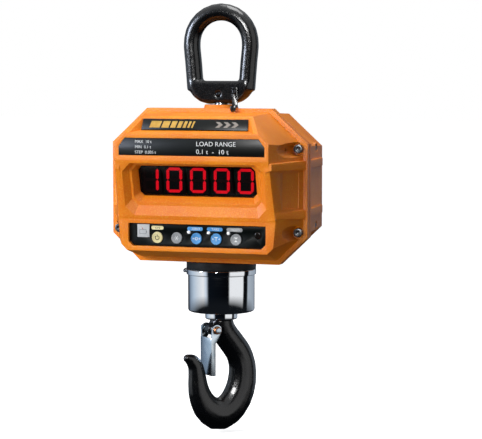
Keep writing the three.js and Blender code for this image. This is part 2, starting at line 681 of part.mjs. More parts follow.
function keyPanel() {
  const plate = slab(cutCornersBelow(KEY_PANEL, 0), PANEL_Y, PANEL_Y + KEY_PANEL.thick);
  const hole = ([x, z], d) => rod("y", 20, [x, PANEL_Y, z], d / 2 + FIT, d / 2 + FIT, 24);
  return cut(
    plate,
    ...KEYS.map((name, index) => hole([keyX(index), KEY_Z], KEY_D)),
    ...Object.values(LAMPS).map((spot) => hole(spot, LAMP_D)),
    hole(IR_PLACE, IR_D),
    box(BATTERY_LAMP.x - 6, BATTERY_LAMP.x + 6, PANEL_Y - 5, PANEL_Y + 5, BATTERY_LAMP.z - 6,
      BATTERY_LAMP.z + 6),
  );
}

const KEY_BOARD_Y = PANEL_Y + KEY_PANEL.thick + 7;

// A cap with a skirt behind the panel that keeps it from falling out.
function key(index) {
  const x = keyX(index);
  const face = PANEL_Y - KEY_PROUD;
  const back = PANEL_Y + KEY_PANEL.thick + GAP;
  const cap = rod("y", back - face, [x, (face + back) / 2, KEY_Z], KEY_D / 2);
  const dish = rod("y", 1, [x, face, KEY_Z], KEY_D / 2 - 1.6);
  const skirt = rod("y", 2, [x, back + 1, KEY_Z], KEY_D / 2 + KEY_SKIRT);
  const stem = rod("y", 3, [x, back + 2.5, KEY_Z], 3, 3, 16);
  return cut(join(cap, skirt, stem), dish);
}

function lamp([x, z]) {
  const back = KEY_BOARD_Y - GAP;
  const dome = rod("y", 1, [x, PANEL_Y - 0.5, z], LAMP_D / 2 - 0.8, LAMP_D / 2, 20);
  return join(dome, rod("y", back - PANEL_Y, [x, (back + PANEL_Y) / 2, z], LAMP_D / 2, LAMP_D / 2, 20));
}

function irLens() {
  const [x, z] = IR_PLACE;
  const back = KEY_BOARD_Y - GAP;
  const dome = rod("y", 1.2, [x, PANEL_Y - 0.6, z], IR_D / 2 - 1.5, IR_D / 2);
  return join(dome, rod("y", back - PANEL_Y, [x, (back + PANEL_Y) / 2, z], IR_D / 2));
}

function batteryLamp() {
  const { x, z, size } = BATTERY_LAMP;
  const face = box(x - size / 2, x + size / 2, PANEL_Y - 1.5, PANEL_Y - GAP, z - size / 2, z + size / 2);
  return join(face, box(x - 5, x + 5, PANEL_Y - 1, KEY_BOARD_Y - GAP, z - 5, z + 5));
}

function keyBoard() {
  const { half, low, high } = KEY_PANEL;
  return box(-half + 4, half - 4, KEY_BOARD_Y, KEY_BOARD_Y + 1.6, low + 4, high - 4);
}

// ---------------------------------------------------------------- suspension

const BLOCK_TOP = -RING_EYE_HEIGHT;
const BLOCK_BOTTOM = BLOCK_TOP - RING_BLOCK_HEIGHT;
const CROSS_PIN_Z = BLOCK_BOTTOM + STUD_DEPTH - 9;

function suspensionRing() {
  const bar = RING_BAR / 2;
  const arch = RING_INNER_WIDTH / 2 + bar;
  const crown = bar;
  const spring = crown - arch; // height where the arch meets the legs
  const foot = RING_BASE_WIDTH / 2 + bar;
  const points = [
    [-foot + 1, BLOCK_TOP - 14], [-foot, BLOCK_TOP], [-(arch + foot) / 2, (BLOCK_TOP + spring) / 2],
  ];
  for (let step = 0; step <= 8; step += 1) {
    const angle = Math.PI * (1 - step / 8);
    points.push([arch * Math.cos(angle), spring + arch * Math.sin(angle)]);
  }
  points.push(...points.slice(0, 3).reverse().map(([x, z]) => [-x, z]));
  const curve = new THREE.CatmullRomCurve3(points.map(([x, z]) => new THREE.Vector3(x, 0, z)));
  const section = new THREE.Shape();
  section.absarc(0, 0, bar, 0, 2 * Math.PI);
  const arc = new THREE.ExtrudeGeometry(section, { extrudePath: curve, steps: 26, curveSegments: 6 });
  const outer = foot + bar;
  const edge = mirrored([
    [foot, BLOCK_TOP], [outer - 1.5, BLOCK_TOP - 4], [outer - 4, BLOCK_TOP - 14],
    [outer - 11, BLOCK_TOP - 23.5], [outer - 21, BLOCK_TOP - 30.5], [RING_BLOCK_FOOT / 2, BLOCK_BOTTOM],
  ]);
  const inset = edge.map(([x, z]) => [x * 0.86, Math.max(z, BLOCK_BOTTOM + 3)]);
  const rim = RING_BLOCK_THICK / 2 - RING_BLOCK_ROUND;
  const block = hull([
    ...at(edge, -rim), ...at(edge, rim),
    ...at(inset, -RING_BLOCK_THICK / 2), ...at(inset, RING_BLOCK_THICK / 2),
  ]);
  return cut(
    join(solid(arc), block),
    rod("z", STUD_DEPTH + 1 + 10, [0, 0, BLOCK_BOTTOM + (STUD_DEPTH + 1 - 10) / 2], STUD_D / 2 + GAP),
    rod("y", 80, [0, 0, CROSS_PIN_Z], CROSS_PIN_D / 2 + GAP, CROSS_PIN_D / 2 + GAP, 16),
    rod("y", 30, [TAB_X, -RING_BLOCK_THICK / 2, TAB_SCREW_Z], 2 + GAP, 2 + GAP, 12),
  );
}

function crossPin() {
  return rod("y", RING_BLOCK_THICK + 1, [0, 0, CROSS_PIN_Z], CROSS_PIN_D / 2, CROSS_PIN_D / 2, 16);
}

// Strip that keeps the ring from unscrewing: bolted to the block, it reaches over the housing's edge.
const TAB_X = 27;
const TAB_SCREW_Z = -106;
const TAB = { width: 8, thick: 3, reachX: 40, reachY: -62, low: -134.6 };

function lockTab() {
  const { width, thick, reachX, reachY, low } = TAB;
  const face = -RING_BLOCK_THICK / 2 - GAP;
  const deck = HOUSING_TOP + 1.2;
  const half = width / 2;
  const post = box(TAB_X - half, TAB_X + half, face - thick, face, deck, TAB_SCREW_Z + 7);
  const arm = hull([0, thick].flatMap((lift) => [
    [TAB_X - half, face, deck + lift],
    [TAB_X + half, face, deck + lift],
    [reachX + half, reachY, deck + lift],
    [reachX - half, reachY, deck + lift],
  ]));
  const finger = join(
    box(reachX - half, reachX + half, reachY - thick, reachY, low + half, deck + thick),
    rod("y", thick, [reachX, reachY - thick / 2, low + half], half, half, 20),
  );
  return cut(
    join(post, arm, finger),
    rod("y", 30, [TAB_X, face, TAB_SCREW_Z], 2 + GAP, 2 + GAP, 12),
  );
}

function tabScrew() {
  const z = TAB_SCREW_Z;
  const seat = -RING_BLOCK_THICK / 2 - GAP - TAB.thick - GAP;
  return cut(
    join(rod("y", 2.4, [TAB_X, seat - 1.2, z], 2.8, 3.6, 16), rod("y", 12, [TAB_X, seat + 5, z], 2, 2, 12)),
    rod("y", 3, [TAB_X, seat - 3, z], 1.3, 1.3, 6),
  );
}

function loadCell() {
  const body = CELL_D / 2;
  const profile = [
    [0, CUP_TOP - HEAD_DISC_HEIGHT + 1], [CELL_STUD_D / 2, CUP_TOP - HEAD_DISC_HEIGHT + 1],
    [CELL_STUD_D / 2, CELL_BOTTOM], [body - 2, CELL_BOTTOM], [body, CELL_BOTTOM + 2], [body, CELL_TOP - 2],
    [body - 2, CELL_TOP], [STUD_D / 2 + 3, CELL_TOP], [STUD_D / 2 + 3, BLOCK_BOTTOM - 2],
    [STUD_D / 2, BLOCK_BOTTOM - 2], [STUD_D / 2, BLOCK_BOTTOM + STUD_DEPTH], [0, BLOCK_BOTTOM + STUD_DEPTH],
  ];
  const middle = (CELL_TOP + CELL_BOTTOM) / 2;
  return cut(
    turned(profile),
    box(-17, 17, -body - 1, -9, middle - 24, middle + 24),
    rod("y", 80, [0, 0, CROSS_PIN_Z], CROSS_PIN_D / 2 + GAP, CROSS_PIN_D / 2 + GAP, 16),
    box(-body, body, body - CELL_FLAT_DEPTH, body + 1, CHASSIS.low - 4, CHASSIS.high + 18),
    rod("y", 32, [0, body, CHASSIS_BOLT_Z], 4 + GAP),
  );
}

const CELL_STUD_D = 40;
const CELL_FLAT_DEPTH = 5; // depth of the flat that the chassis is bolted to
const CHASSIS_BOLT_Z = -240;
const CHASSIS = { thick: 5, low: HOUSING_BOTTOM + 45.5, high: -182, lug: 8.3 };

function chassis() {
  const { thick, low, high, lug } = CHASSIS;
  const y0 = CELL_D / 2 - CELL_FLAT_DEPTH + GAP;
  const side = rearSideX(SIDE_SCREW.y) - 12.5 - GAP;
  const plate = box(-side, side, y0, y0 + thick, low, high);
  const lugs = [1, -1].flatMap((s) => [SIDE_SCREW.upper, SIDE_SCREW.lower].map((z) =>
    box(s > 0 ? side - 14 : -side, s > 0 ? side : -side + 14, y0 - 7, SIDE_SCREW.y + lug, z - 8, z + 8)));
  const [near, far] = [47, side - 25.7];
  const shank = SIDE_SCREW.shank / 2 + GAP;
  const windows = [1, -1].map((s) => box(Math.min(s * near, s * far), Math.max(s * near, s * far), y0 - 1,
    y0 + thick + 1, low + 28, high - 28));
  return cut(
    cut(join(plate, ...lugs), ...windows),
    rod("y", 40, [0, y0, CHASSIS_BOLT_Z], 4 + GAP, 4 + GAP, 16),
    ...[SIDE_SCREW.upper, SIDE_SCREW.lower].map((z) =>
      rod("x", 2 * side + 10, [0, SIDE_SCREW.y, z], shank, shank, 12)
        .subtract(box(-side + 13, side - 13, 0, 60, z - 9, z + 9))),
  );
}

// Processor board on four posts in front of the chassis, right of the load cell.
function mainBoard() {
  const back = CELL_D / 2 - CELL_FLAT_DEPTH;
  const left = 40;
  const right = HOUSING_HALF_WIDTH - 40;
  const sheet = box(left, right, back - 14, back - 12.4, -288, -206);
  const posts = [left + 4, right - 4].flatMap((x) =>
    [-284, -210].map((z) => rod("y", 13, [x, back - 6.5, z], 3, 3, 8)));
  const chips = [[left + 20, -225, 24, 18], [right - 26, -262, 30, 22], [left + 20, -268, 14, 14]];
  const parts = chips.map(([x, z, w, h]) =>
    box(x - w / 2, x + w / 2, back - 19, back - 13, z - h / 2, z + h / 2));
  return join(sheet, ...posts, ...parts);
}

function chassisBolt() {
  const z = CHASSIS_BOLT_Z;
  const seat = CELL_D / 2 - CELL_FLAT_DEPTH + GAP + CHASSIS.thick + GAP;
  return join(
    rod("y", 5, [0, seat + 2.5, z], 7.5, 7.5, 6),
    rod("y", 16, [0, seat - 7.5, z], 4, 4, 16),
  );
}

// ---------------------------------------------------------------- swivel

const CUP_TOP = COLLAR_TOP - 6;
const CUP_FLOOR_TOP = CUP_BOTTOM + CUP_FLOOR;
const CUP_BORE = CUP_D / 2 - CUP_WALL;
const SHANK_BORE = SHANK_D / 2 + FIT;
const RACE = { radius: 33, height: 5, cage: 8 };
const NUT = { radius: 25, height: 15 };

function ringOf(outer, inner, low, high, ease = 0.8, sides = 28) {
  return turned([
    [inner, low], [outer - ease, low], [outer, low + ease], [outer, high - ease], [outer - ease, high],
    [inner, high], [inner, low],
  ], sides);
}

function cup() {
  const radius = CUP_D / 2;
  return turned([
    [SHANK_BORE, CUP_BOTTOM], [radius - 3, CUP_BOTTOM], [radius - 0.8, CUP_BOTTOM + 0.9],
    [radius, CUP_BOTTOM + 3], [radius, CUP_TOP], [CUP_BORE, CUP_TOP], [CUP_BORE, CUP_FLOOR_TOP],
    [SHANK_BORE, CUP_FLOOR_TOP], [SHANK_BORE, CUP_BOTTOM],
  ], 40);
}

function cupCollar() {
  return ringOf(COLLAR_D / 2, CUP_D / 2 + GAP, COLLAR_BOTTOM + GAP, COLLAR_TOP, 1, 40);
}

function cupBand() {
  const low = COLLAR_BOTTOM - BAND_HEIGHT;
  const inner = CUP_D / 2 + GAP;
  const band = ringOf(inner + BAND_WALL, inner, low, COLLAR_BOTTOM, 0.5, 40);
  const lug = box(-inner - 7, -inner - 0.5, -7, 3, COLLAR_BOTTOM - 7, COLLAR_BOTTOM - 1);
  return cut(join(band, lug), rod("y", 30, BAND_SCREW, 1.6 + GAP, 1.6 + GAP, 12));
}

const BAND_SCREW = [-CUP_D / 2 - GAP - 4.4, -2, COLLAR_BOTTOM - 4];

function bandScrew() {
  const [x, y, z] = BAND_SCREW;
  return cut(
    join(rod("y", 13, [x, y, z], 1.6, 1.6, 12), rod("y", 2.6, [x, y - 5 - GAP - 1.3, z], 2.9, 2.9, 16)),
    rod("y", 2, [x, y - 5 - GAP - 2.6, z], 1.2, 1.2, 6),
  );
}

function swivelHead() {
  return ringOf(CUP_BORE - GAP, CELL_STUD_D / 2 + GAP, CUP_TOP - HEAD_DISC_HEIGHT, CUP_TOP);
}

const RACE_LOW = CUP_FLOOR_TOP + GAP;
const CAGE_LOW = RACE_LOW + RACE.height + GAP;
const TOP_RACE_LOW = CAGE_LOW + RACE.cage + GAP;
const NUT_LOW = TOP_RACE_LOW + RACE.height + GAP;

const lowerRace = () => ringOf(RACE.radius, SHANK_BORE + 1.5, RACE_LOW, RACE_LOW + RACE.height);
const upperRace = () => ringOf(RACE.radius - 1, SHANK_BORE, TOP_RACE_LOW, TOP_RACE_LOW + RACE.height);

// Cage with its rollers standing proud of both faces.
function rollerCage() {
  const plate = ringOf(RACE.radius - 1.5, SHANK_BORE + 2, CAGE_LOW + 1.5, CAGE_LOW + RACE.cage - 1.5, 0.5);
  const count = 10;
  const rollers = Array.from({ length: count }, (_, index) => {
    const roller = new THREE.CylinderGeometry(RACE.cage / 2, RACE.cage / 2, 9, 10);
    roller.rotateZ(Math.PI / 2);
    roller.translate(25, 0, 0);
    roller.rotateZ((index * 2 * Math.PI) / count);
    roller.translate(0, 0, CAGE_LOW + RACE.cage / 2);
    return solid(roller);
  });
  return join(plate, ...rollers);
}

function hookNut() {
  const slots = [0, 1, 2].map((index) => {
    const slot = new THREE.BoxGeometry(70, 6, 12);
    slot.translate(0, 0, NUT_LOW + NUT.height + 1.5);
    slot.rotateZ((index * Math.PI) / 3);
    return solid(slot);
  });
  return cut(
    rod("z", NUT.height, [0, 0, NUT_LOW + NUT.height / 2], NUT.radius, NUT.radius, 6),
    rod("z", 60, [0, 0, NUT_LOW], SHANK_D / 2 + GAP, SHANK_D / 2 + GAP, 24),
    ...slots,
  );
}

const NUT_PIN_Z = NUT_LOW + NUT.height - 2.2;
const nutPin = () => rod("x", 2 * NUT.radius - 6, [0, 0, NUT_PIN_Z], 2, 2, 12);

function hookCollar() {
  return ringOf(HOOK_COLLAR_D / 2, SHANK_D / 2 + GAP, NECK_TOP + GAP, HOOK_COLLAR_TOP, 1.5, 32);
}

// ---------------------------------------------------------------- hook and latch

// Built in the hook's own plane: X is across the hook, towards its back, and Y is square to it.
// Each station is [x, z, half-height across the limb, half-thickness].
const HOOK_STATIONS = [
  [0, NECK_TOP + 4, NECK_D / 2, NECK_D / 2],
  [0.6, NECK_TOP - 8, NECK_D / 2, NECK_D / 2],
  [6.5, NECK_TOP - 22.4, 20, 18],
  [18, NECK_TOP - 37.4, 20.5, 17.5],
  [30, NECK_TOP - 54.4, 21, 17],
  [36.3, NECK_TOP - 76.4, 22.2, 17.5],
  [33.5, NECK_TOP - 106, 24, 18.5],
  [19, NECK_TOP - 133, 25, 19.5],
  [-2.5, NECK_TOP - 145.4, 25.6, 19.5],
  [-24.5, NECK_TOP - 134.6, 22.2, 17.5],
  [-38, NECK_TOP - 109.6, 17.6, 14],
  [-41.6, NECK_TOP - 83.4, 14.2, 11.5],
  [-44.2, NECK_TOP - 68.4, 12.3, 10.5],
  [-51, NECK_TOP - 59.9, 10.5, 9.5],
  [-57.5, NECK_TOP - 56.4, 7, 7],
];
const LIMB_STEPS = 32;
const LIMB_SIDES = 12;

function limb(stations) {
  const line = new THREE.CatmullRomCurve3(stations.map(([x, z]) => new THREE.Vector3(x, 0, z)));
  const sizes = new THREE.CatmullRomCurve3(stations.map(([, , a, b]) => new THREE.Vector3(a, b, 0)));
  const across = new THREE.Vector3(0, 1, 0);
  const positions = [];
  const indices = [];
  for (let step = 0; step <= LIMB_STEPS; step += 1) {
    const t = step / LIMB_STEPS;
    const centre = line.getPoint(t);
    const inward = new THREE.Vector3().crossVectors(across, line.getTangent(t)).normalize();
    const size = sizes.getPoint(t);
    for (let side = 0; side < LIMB_SIDES; side += 1) {
      const angle = (side / LIMB_SIDES) * 2 * Math.PI;
      const point = centre.clone()
        .addScaledVector(inward, size.x * Math.cos(angle))
        .addScaledVector(across, size.y * Math.sin(angle));
      positions.push(point.x, point.y, point.z);
    }
  }
  const ends = [line.getPoint(0), line.getPoint(1)];
  ends.forEach((end) => positions.push(end.x, end.y, end.z));
  const last = LIMB_STEPS * LIMB_SIDES;
  const firstEnd = last + LIMB_SIDES;
  for (let side = 0; side < LIMB_SIDES; side += 1) {
    const next = (side + 1) % LIMB_SIDES;
    for (let step = 0; step < LIMB_STEPS; step += 1) {
      const row = step * LIMB_SIDES;
      const up = row + LIMB_SIDES;
      indices.push(row + side, row + next, up + side, row + next, up + next, up + side);
    }
    indices.push(firstEnd, next, side, firstEnd + 1, last + side, last + next);
  }
  const geometry = new THREE.BufferGeometry();
  geometry.setAttribute("position", new THREE.Float32BufferAttribute(positions, 3));
  geometry.setIndex(indices);
  return solid(geometry);
}

const LUG = { radius: 9, half: 8 };

function hook() {
  const [pinX, pinZ] = LATCH_PIVOT;
  const shank = turned([
    [0, NECK_TOP - 4], [SHANK_D / 2, NECK_TOP - 4], [SHANK_D / 2, NUT_LOW + NUT.height - 1.5],
    [SHANK_D / 2 - 1.5, NUT_LOW + NUT.height], [0, NUT_LOW + NUT.height],
  ], 32);
  const [tipX, tipZ] = HOOK_STATIONS.at(-1);
  const nose = new THREE.SphereGeometry(7, 14, 10);
  nose.translate(tipX, 0, tipZ);
  const lug = hull([-1, 1].flatMap((side) => [
    [pinX + 14, side * LUG.half, pinZ + 10],
    [pinX + 14, side * LUG.half, pinZ - 12],
    ...Array.from({ length: 10 }, (_, index) => {
      const angle = Math.PI / 2 + (index / 9) * Math.PI;
      return [pinX + LUG.radius * Math.cos(angle), side * LUG.half, pinZ + LUG.radius * Math.sin(angle)];
    }),
  ]));
  const spotFaces = [-1, 1].map((side) =>
    rod("y", 20, [pinX, side * (LUG.half + 10), pinZ], LUG.radius + 0.6));
  const above = box(-NECK_D, NECK_D, -NECK_D, NECK_D, NECK_TOP, NECK_TOP + 30);
  return cut(
    join(cut(join(cut(limb(HOOK_STATIONS), above), shank), ...spotFaces), lug, solid(nose)),
    rod("y", 60, [pinX, 0, pinZ], LATCH_PIN_D / 2 + GAP),
    rod("x", 60, [0, 0, NUT_PIN_Z], 2 + GAP, 2 + GAP, 12),
  );
}

function latch() {
  const [pinX, pinZ] = LATCH_PIVOT;
  const half = LATCH_WIDTH / 2;
  const eye = 8;
  const shoulder = pinZ - 12;
  const inner = LATCH_WEB_U + LATCH_FLANGE;
  const web = box(LATCH_WEB_U, LATCH_WEB_U + LATCH_SHEET, -half, half, LATCH_END, shoulder);
  const cheeks = [-1, 1].map((side) => {
    const y0 = side > 0 ? half - LATCH_SHEET : -half;
    const y1 = y0 + LATCH_SHEET;
    const strip = box(LATCH_WEB_U, inner, y0, y1, LATCH_END, shoulder);
    const ear = hull([y0, y1].flatMap((y) => [
      [LATCH_WEB_U, y, shoulder - 8],
      [inner, y, shoulder - 8],
      ...Array.from({ length: 20 }, (_, index) => {
        const angle = (index / 20) * 2 * Math.PI;
        return [pinX + eye * Math.cos(angle), y, pinZ + eye * Math.sin(angle)];
      }),
    ]));
    return join(strip, ear);
  });
  return cut(join(web, ...cheeks), rod("y", 60, [pinX, 0, pinZ], LATCH_PIN_D / 2 + GAP));
}

const LATCH_HALF = LATCH_WIDTH / 2 + GAP;

function latchPin() {
  const [x, z] = LATCH_PIVOT;
  return join(
    rod("y", 2 * LATCH_HALF + 7, [x, -3, z], LATCH_PIN_D / 2, LATCH_PIN_D / 2, 20),
    rod("y", 5, [x, LATCH_HALF + 2.5, z], 6.8, 6.8, 6),
  );
}

function latchNut() {
  const [x, z] = LATCH_PIVOT;
  return cut(
    rod("y", 4.5, [x, -LATCH_HALF - 2.25, z], 5.5, 6.5, 20),
    rod("y", 20, [x, -LATCH_HALF, z], LATCH_PIN_D / 2 + GAP),
  );
}

class Coil extends THREE.Curve {
  constructor(radius, rise, turns) {
    super();
    Object.assign(this, { radius, rise, turns });
  }

  getPoint(t, target = new THREE.Vector3()) {
    const angle = 2 * Math.PI * this.turns * t;
    return target.set(this.radius * Math.cos(angle), this.rise * t, this.radius * Math.sin(angle));
  }
}

function latchSpring() {
  const [x, z] = LATCH_PIVOT;
  const wire = 0.8;
  const section = new THREE.Shape();
  section.absarc(0, 0, wire, 0, 2 * Math.PI);
  const room = LATCH_WIDTH / 2 - LATCH_SHEET - LUG.half - 2 * wire - 2 * GAP;
  const coil = new THREE.ExtrudeGeometry(section, {
    extrudePath: new Coil(5.6, room, 2.5), steps: 45, curveSegments: 3,
  });
  coil.translate(x, -(LUG.half + GAP + wire + room), z);
  return solid(coil);
}

// ---------------------------------------------------------------- assembly

place("suspension_ring", suspensionRing(), blackEnamel);
place("ring_cross_pin", crossPin(), steel);
place("ring_lock_tab", lockTab(), blackEnamel);
place("lock_tab_screw", tabScrew(), steel);
place("load_cell", loadCell(), steel);
place("chassis", chassis(), steel);
place("chassis_bolt", chassisBolt(), steel);
place("main_board", mainBoard(), board);

place("front_housing", frontHousing(), orange);
place("rear_housing", rearHousing(), orange);
place("housing_gasket", gasket(), blackRubber);
for (const [corner, spot] of Object.entries(SCREW_SPOTS)) {
  place(`housing_screw_${corner}`, socketScrew(spot, 24), steel);
}
for (const [corner, spot] of Object.entries(SIDE_SPOTS)) {
  place(`side_screw_${corner}`, sideScrew(spot), steel);
}

place("battery_door", batteryDoor(), orange);
place("battery_door_lock", doorLock(), steel);
place("battery_door_pin", hingePin(), steel);
place("battery_pack", batteryPack(), blackPlastic);

place("name_plate", namePlate(), blackPlastic);
place("capacity_plate", capacityPlate(), blackPlastic);
place("display_window", displayWindow(), darkGlass);
for (let index = 0; index < 5; index += 1) {
  place(`digit_module_${index + 1}`, digitModule(index), redLed);
}
place("display_board", displayBoard(), board);

place("key_panel", keyPanel(), blackPlastic);
place("key_board", keyBoard(), board);
const KEY_COLOURS = { power: cream, light: grey, zero: blue, tare: blue, hold: grey };
KEYS.forEach((name, index) => place(`key_${name}`, key(index), KEY_COLOURS[name]));
for (const [name, spot] of Object.entries(LAMPS)) {
  place(`lamp_${name}`, lamp(spot), white);
}
place("low_battery_lamp", batteryLamp(), white);
place("ir_lens", irLens(), darkGlass);

place("cup_collar", cupCollar(), blackRubber);
place("cup_band", cupBand(), chrome);
place("cup_band_screw", bandScrew(), steel);
place("swivel_cup", cup(), chrome);
place("swivel_head", swivelHead(), steel);
place("bearing_lower_race", lowerRace(), steel);
place("bearing_roller_cage", rollerCage(), steel);

const hookGroup = new THREE.Group();
hookGroup.rotation.z = HOOK_TURN;
group.add(hookGroup);
hookGroup.add(
  place("bearing_upper_race", upperRace(), steel),
  place("hook_nut", hookNut(), steel),
  place("hook_nut_pin", nutPin(), steel),
  place("hook_collar", hookCollar(), chrome),
  place("hook", hook(), blackEnamel),
  place("latch", latch(), chrome),
  place("latch_pin", latchPin(), steel),
  place("latch_nut", latchNut(), steel),
  place("latch_spring", latchSpring(), steel),
);

export default group;
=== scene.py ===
"""Looks of a hanging crane scale: cast housing, forged ring and hook, chromed swivel, readout and keys."""

import json
import math

import bmesh
import bpy
from mathutils import Matrix, Vector
from mathutils.bvhtree import BVHTree

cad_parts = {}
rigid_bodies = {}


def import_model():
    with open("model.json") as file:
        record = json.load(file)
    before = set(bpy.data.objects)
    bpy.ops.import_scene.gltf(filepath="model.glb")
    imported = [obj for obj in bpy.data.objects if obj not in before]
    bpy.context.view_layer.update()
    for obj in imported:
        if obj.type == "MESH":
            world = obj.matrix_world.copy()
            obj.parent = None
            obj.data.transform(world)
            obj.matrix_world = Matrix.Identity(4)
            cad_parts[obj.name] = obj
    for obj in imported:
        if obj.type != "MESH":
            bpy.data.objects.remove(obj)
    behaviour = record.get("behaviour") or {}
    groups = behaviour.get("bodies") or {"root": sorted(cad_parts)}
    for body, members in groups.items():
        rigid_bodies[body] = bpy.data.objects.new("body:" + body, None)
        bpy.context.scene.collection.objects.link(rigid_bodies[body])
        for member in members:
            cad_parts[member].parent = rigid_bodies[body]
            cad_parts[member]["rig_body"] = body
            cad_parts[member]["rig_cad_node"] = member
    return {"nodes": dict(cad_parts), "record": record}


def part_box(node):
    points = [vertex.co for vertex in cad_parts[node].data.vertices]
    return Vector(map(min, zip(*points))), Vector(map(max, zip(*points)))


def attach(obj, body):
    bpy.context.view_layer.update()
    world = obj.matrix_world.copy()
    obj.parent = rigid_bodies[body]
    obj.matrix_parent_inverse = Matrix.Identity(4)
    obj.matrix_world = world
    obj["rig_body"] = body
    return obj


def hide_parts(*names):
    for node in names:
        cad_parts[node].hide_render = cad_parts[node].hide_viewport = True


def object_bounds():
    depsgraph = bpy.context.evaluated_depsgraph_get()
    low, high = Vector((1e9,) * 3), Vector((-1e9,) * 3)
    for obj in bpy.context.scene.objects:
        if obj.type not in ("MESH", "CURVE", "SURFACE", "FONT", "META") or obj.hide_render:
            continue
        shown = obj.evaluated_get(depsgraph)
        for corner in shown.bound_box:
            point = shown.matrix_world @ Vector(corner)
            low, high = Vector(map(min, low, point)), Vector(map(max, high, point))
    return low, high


bl_info = {
    "name": "Crane Scale Finish",
    "version": (1, 0, 0),
    "blender": (4, 5, 0),
    "location": "3D View > Sidebar > Crane Scale",
    "description": "Builds the visible surfaces of a hanging crane scale around its engineering model",
    "category": "Object",
}

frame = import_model()
cad_low, cad_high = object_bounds()

MM = 0.001
NODE_BODY = {node: body for body, nodes in frame["record"]["behaviour"]["bodies"].items() for node in nodes}
NODE_SLOT = {row["node"]: row["material_slot"] for row in frame["record"]["subparts"]}
CAD = frame["nodes"]
KEY_NAMES = ("power", "light", "zero", "tare", "hold")


# ---------------------------------------------------------------- small tools


def linear(hex_colour):
    """An sRGB hex colour as the linear RGBA that shaders take."""
    channels = [int(hex_colour[i : i + 2], 16) / 255 for i in (1, 3, 5)]
    return tuple(c / 12.92 if c <= 0.04045 else ((c + 0.055) / 1.055) ** 2.4 for c in channels) + (1.0,)


def settings():
    return bpy.context.scene.crane_scale


def select_only(*objects):
    bpy.ops.object.select_all(action="DESELECT")
    for obj in objects:
        obj.select_set(True)
    bpy.context.view_layer.objects.active = objects[0]


def edit(obj, mode="FACE"):
    select_only(obj)
    bpy.ops.object.mode_set(mode="EDIT")
    bpy.ops.mesh.select_mode(type=mode)
    bpy.ops.mesh.select_all(action="DESELECT")
    return bmesh.from_edit_mesh(obj.data)


def leave_edit():
    bpy.ops.object.mode_set(mode="OBJECT")


def finish_piece(obj, name, material, body, smooth=35.0, replaces=()):
    """Freezes the piece's place into its mesh and hands it to the frame."""
    select_only(obj)
    bpy.ops.object.transform_apply(location=True, rotation=True, scale=True)
    obj.name = name
    obj.data.name = name
    obj.data.materials.clear()
    obj.data.materials.append(material)
    bpy.ops.object.shade_smooth_by_angle(angle=math.radians(smooth))
    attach(obj, body)
    if replaces:
        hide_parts(*replaces)
    return obj


def apply_modifier(obj, kind, **values):
    select_only(obj)
    modifier = obj.modifiers.new(kind.title(), kind)
    for key, value in values.items():
        setattr(modifier, key, value)
    bpy.ops.object.modifier_apply(modifier=modifier.name)


def soften(obj, width, segments=2, angle=28.0):
    apply_modifier(
        obj, "BEVEL", width=width * MM, segments=segments, limit_method="ANGLE",
        angle_limit=math.radians(angle), use_clamp_overlap=True, miter_outer="MITER_ARC",
    )


def copy_of(node, flat=0.4):
    """A merged copy of a CAD node, its flat areas joined into whole faces."""
    source = CAD[node]
    obj = bpy.data.objects.new(node + "_copy", source.data.copy())
    bpy.context.scene.collection.objects.link(obj)
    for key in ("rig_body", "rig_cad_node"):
        if key in obj:
            del obj[key]
    select_only(obj)
    if obj.data.has_custom_normals:
        bpy.ops.mesh.customdata_custom_splitnormals_clear()
    edit(obj, "VERT")
    bpy.ops.mesh.select_all(action="SELECT")
    bpy.ops.mesh.remove_doubles(threshold=1e-5)
    bpy.ops.mesh.dissolve_limited(angle_limit=math.radians(flat))
    leave_edit()
    return obj


def refined(node, material, width, name=None, segments=2, angle=28.0, smooth=35.0):
    """A CAD node with its edges rounded as the real piece's are."""
    obj = copy_of(node)
    soften(obj, width, segments, angle)
    return finish_piece(
        obj, name or node + "_finished", material, NODE_BODY[node], smooth, (node,)
    )


def centre_of(node):
    low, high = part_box(node)
    return (Vector(low) + Vector(high)) / 2


def join_all(objects):
    select_only(*objects)
    bpy.ops.object.join()
    return bpy.context.object


# ---------------------------------------------------------------- materials


def node_in(tree, kind, inputs=None, **values):
    """Adds a shader node, sets its properties, then fills its inputs with constants or links."""
    node = tree.nodes.new(kind)
    for key, value in values.items():
        setattr(node, key, value)
    for key, value in (inputs or {}).items():
        if isinstance(value, bpy.types.NodeSocket):
            tree.links.new(value, node.inputs[key])
        else:
            node.inputs[key].default_value = value
    return node


def surface(name, **inputs):
    """A material with one principled shader; returns it with its tree and shader."""
    material = bpy.data.materials.new(name)
    material.use_nodes = True
    tree = material.node_tree
    shader = tree.nodes["Principled BSDF"]
    for key, value in inputs.items():
        shader.inputs[key.replace("_", " ")].default_value = value
    return material, tree, shader


def object_place(tree):
    return node_in(tree, "ShaderNodeTexCoord").outputs["Object"]


def speckle(tree, size_mm, detail=2.0, stretch=(1, 1, 1)):
    """Noise whose grains are about size_mm across; stretch pulls it along an axis."""
    place = node_in(tree, "ShaderNodeMapping", {"Vector": object_place(tree), "Scale": stretch})
    return node_in(
        tree, "ShaderNodeTexNoise",
        {
            "Vector": place.outputs["Vector"], "Scale": 1.0 / (size_mm * MM), "Detail": detail,
            "Roughness": 0.6,
        },
    ).outputs["Fac"]


def ranged(tree, value, low, high, source=(0.3, 0.7)):
    return node_in(
        tree, "ShaderNodeMapRange",
        {"Value": value, "From Min": source[0], "From Max": source[1], "To Min": low, "To Max": high},
    ).outputs["Result"]


def bump(tree, shader, height, depth_mm, strength=1.0):
    node = node_in(
        tree, "ShaderNodeBump", {"Height": height, "Distance": depth_mm * MM, "Strength": strength}
    )
    tree.links.new(node.outputs["Normal"], shader.inputs["Normal"])


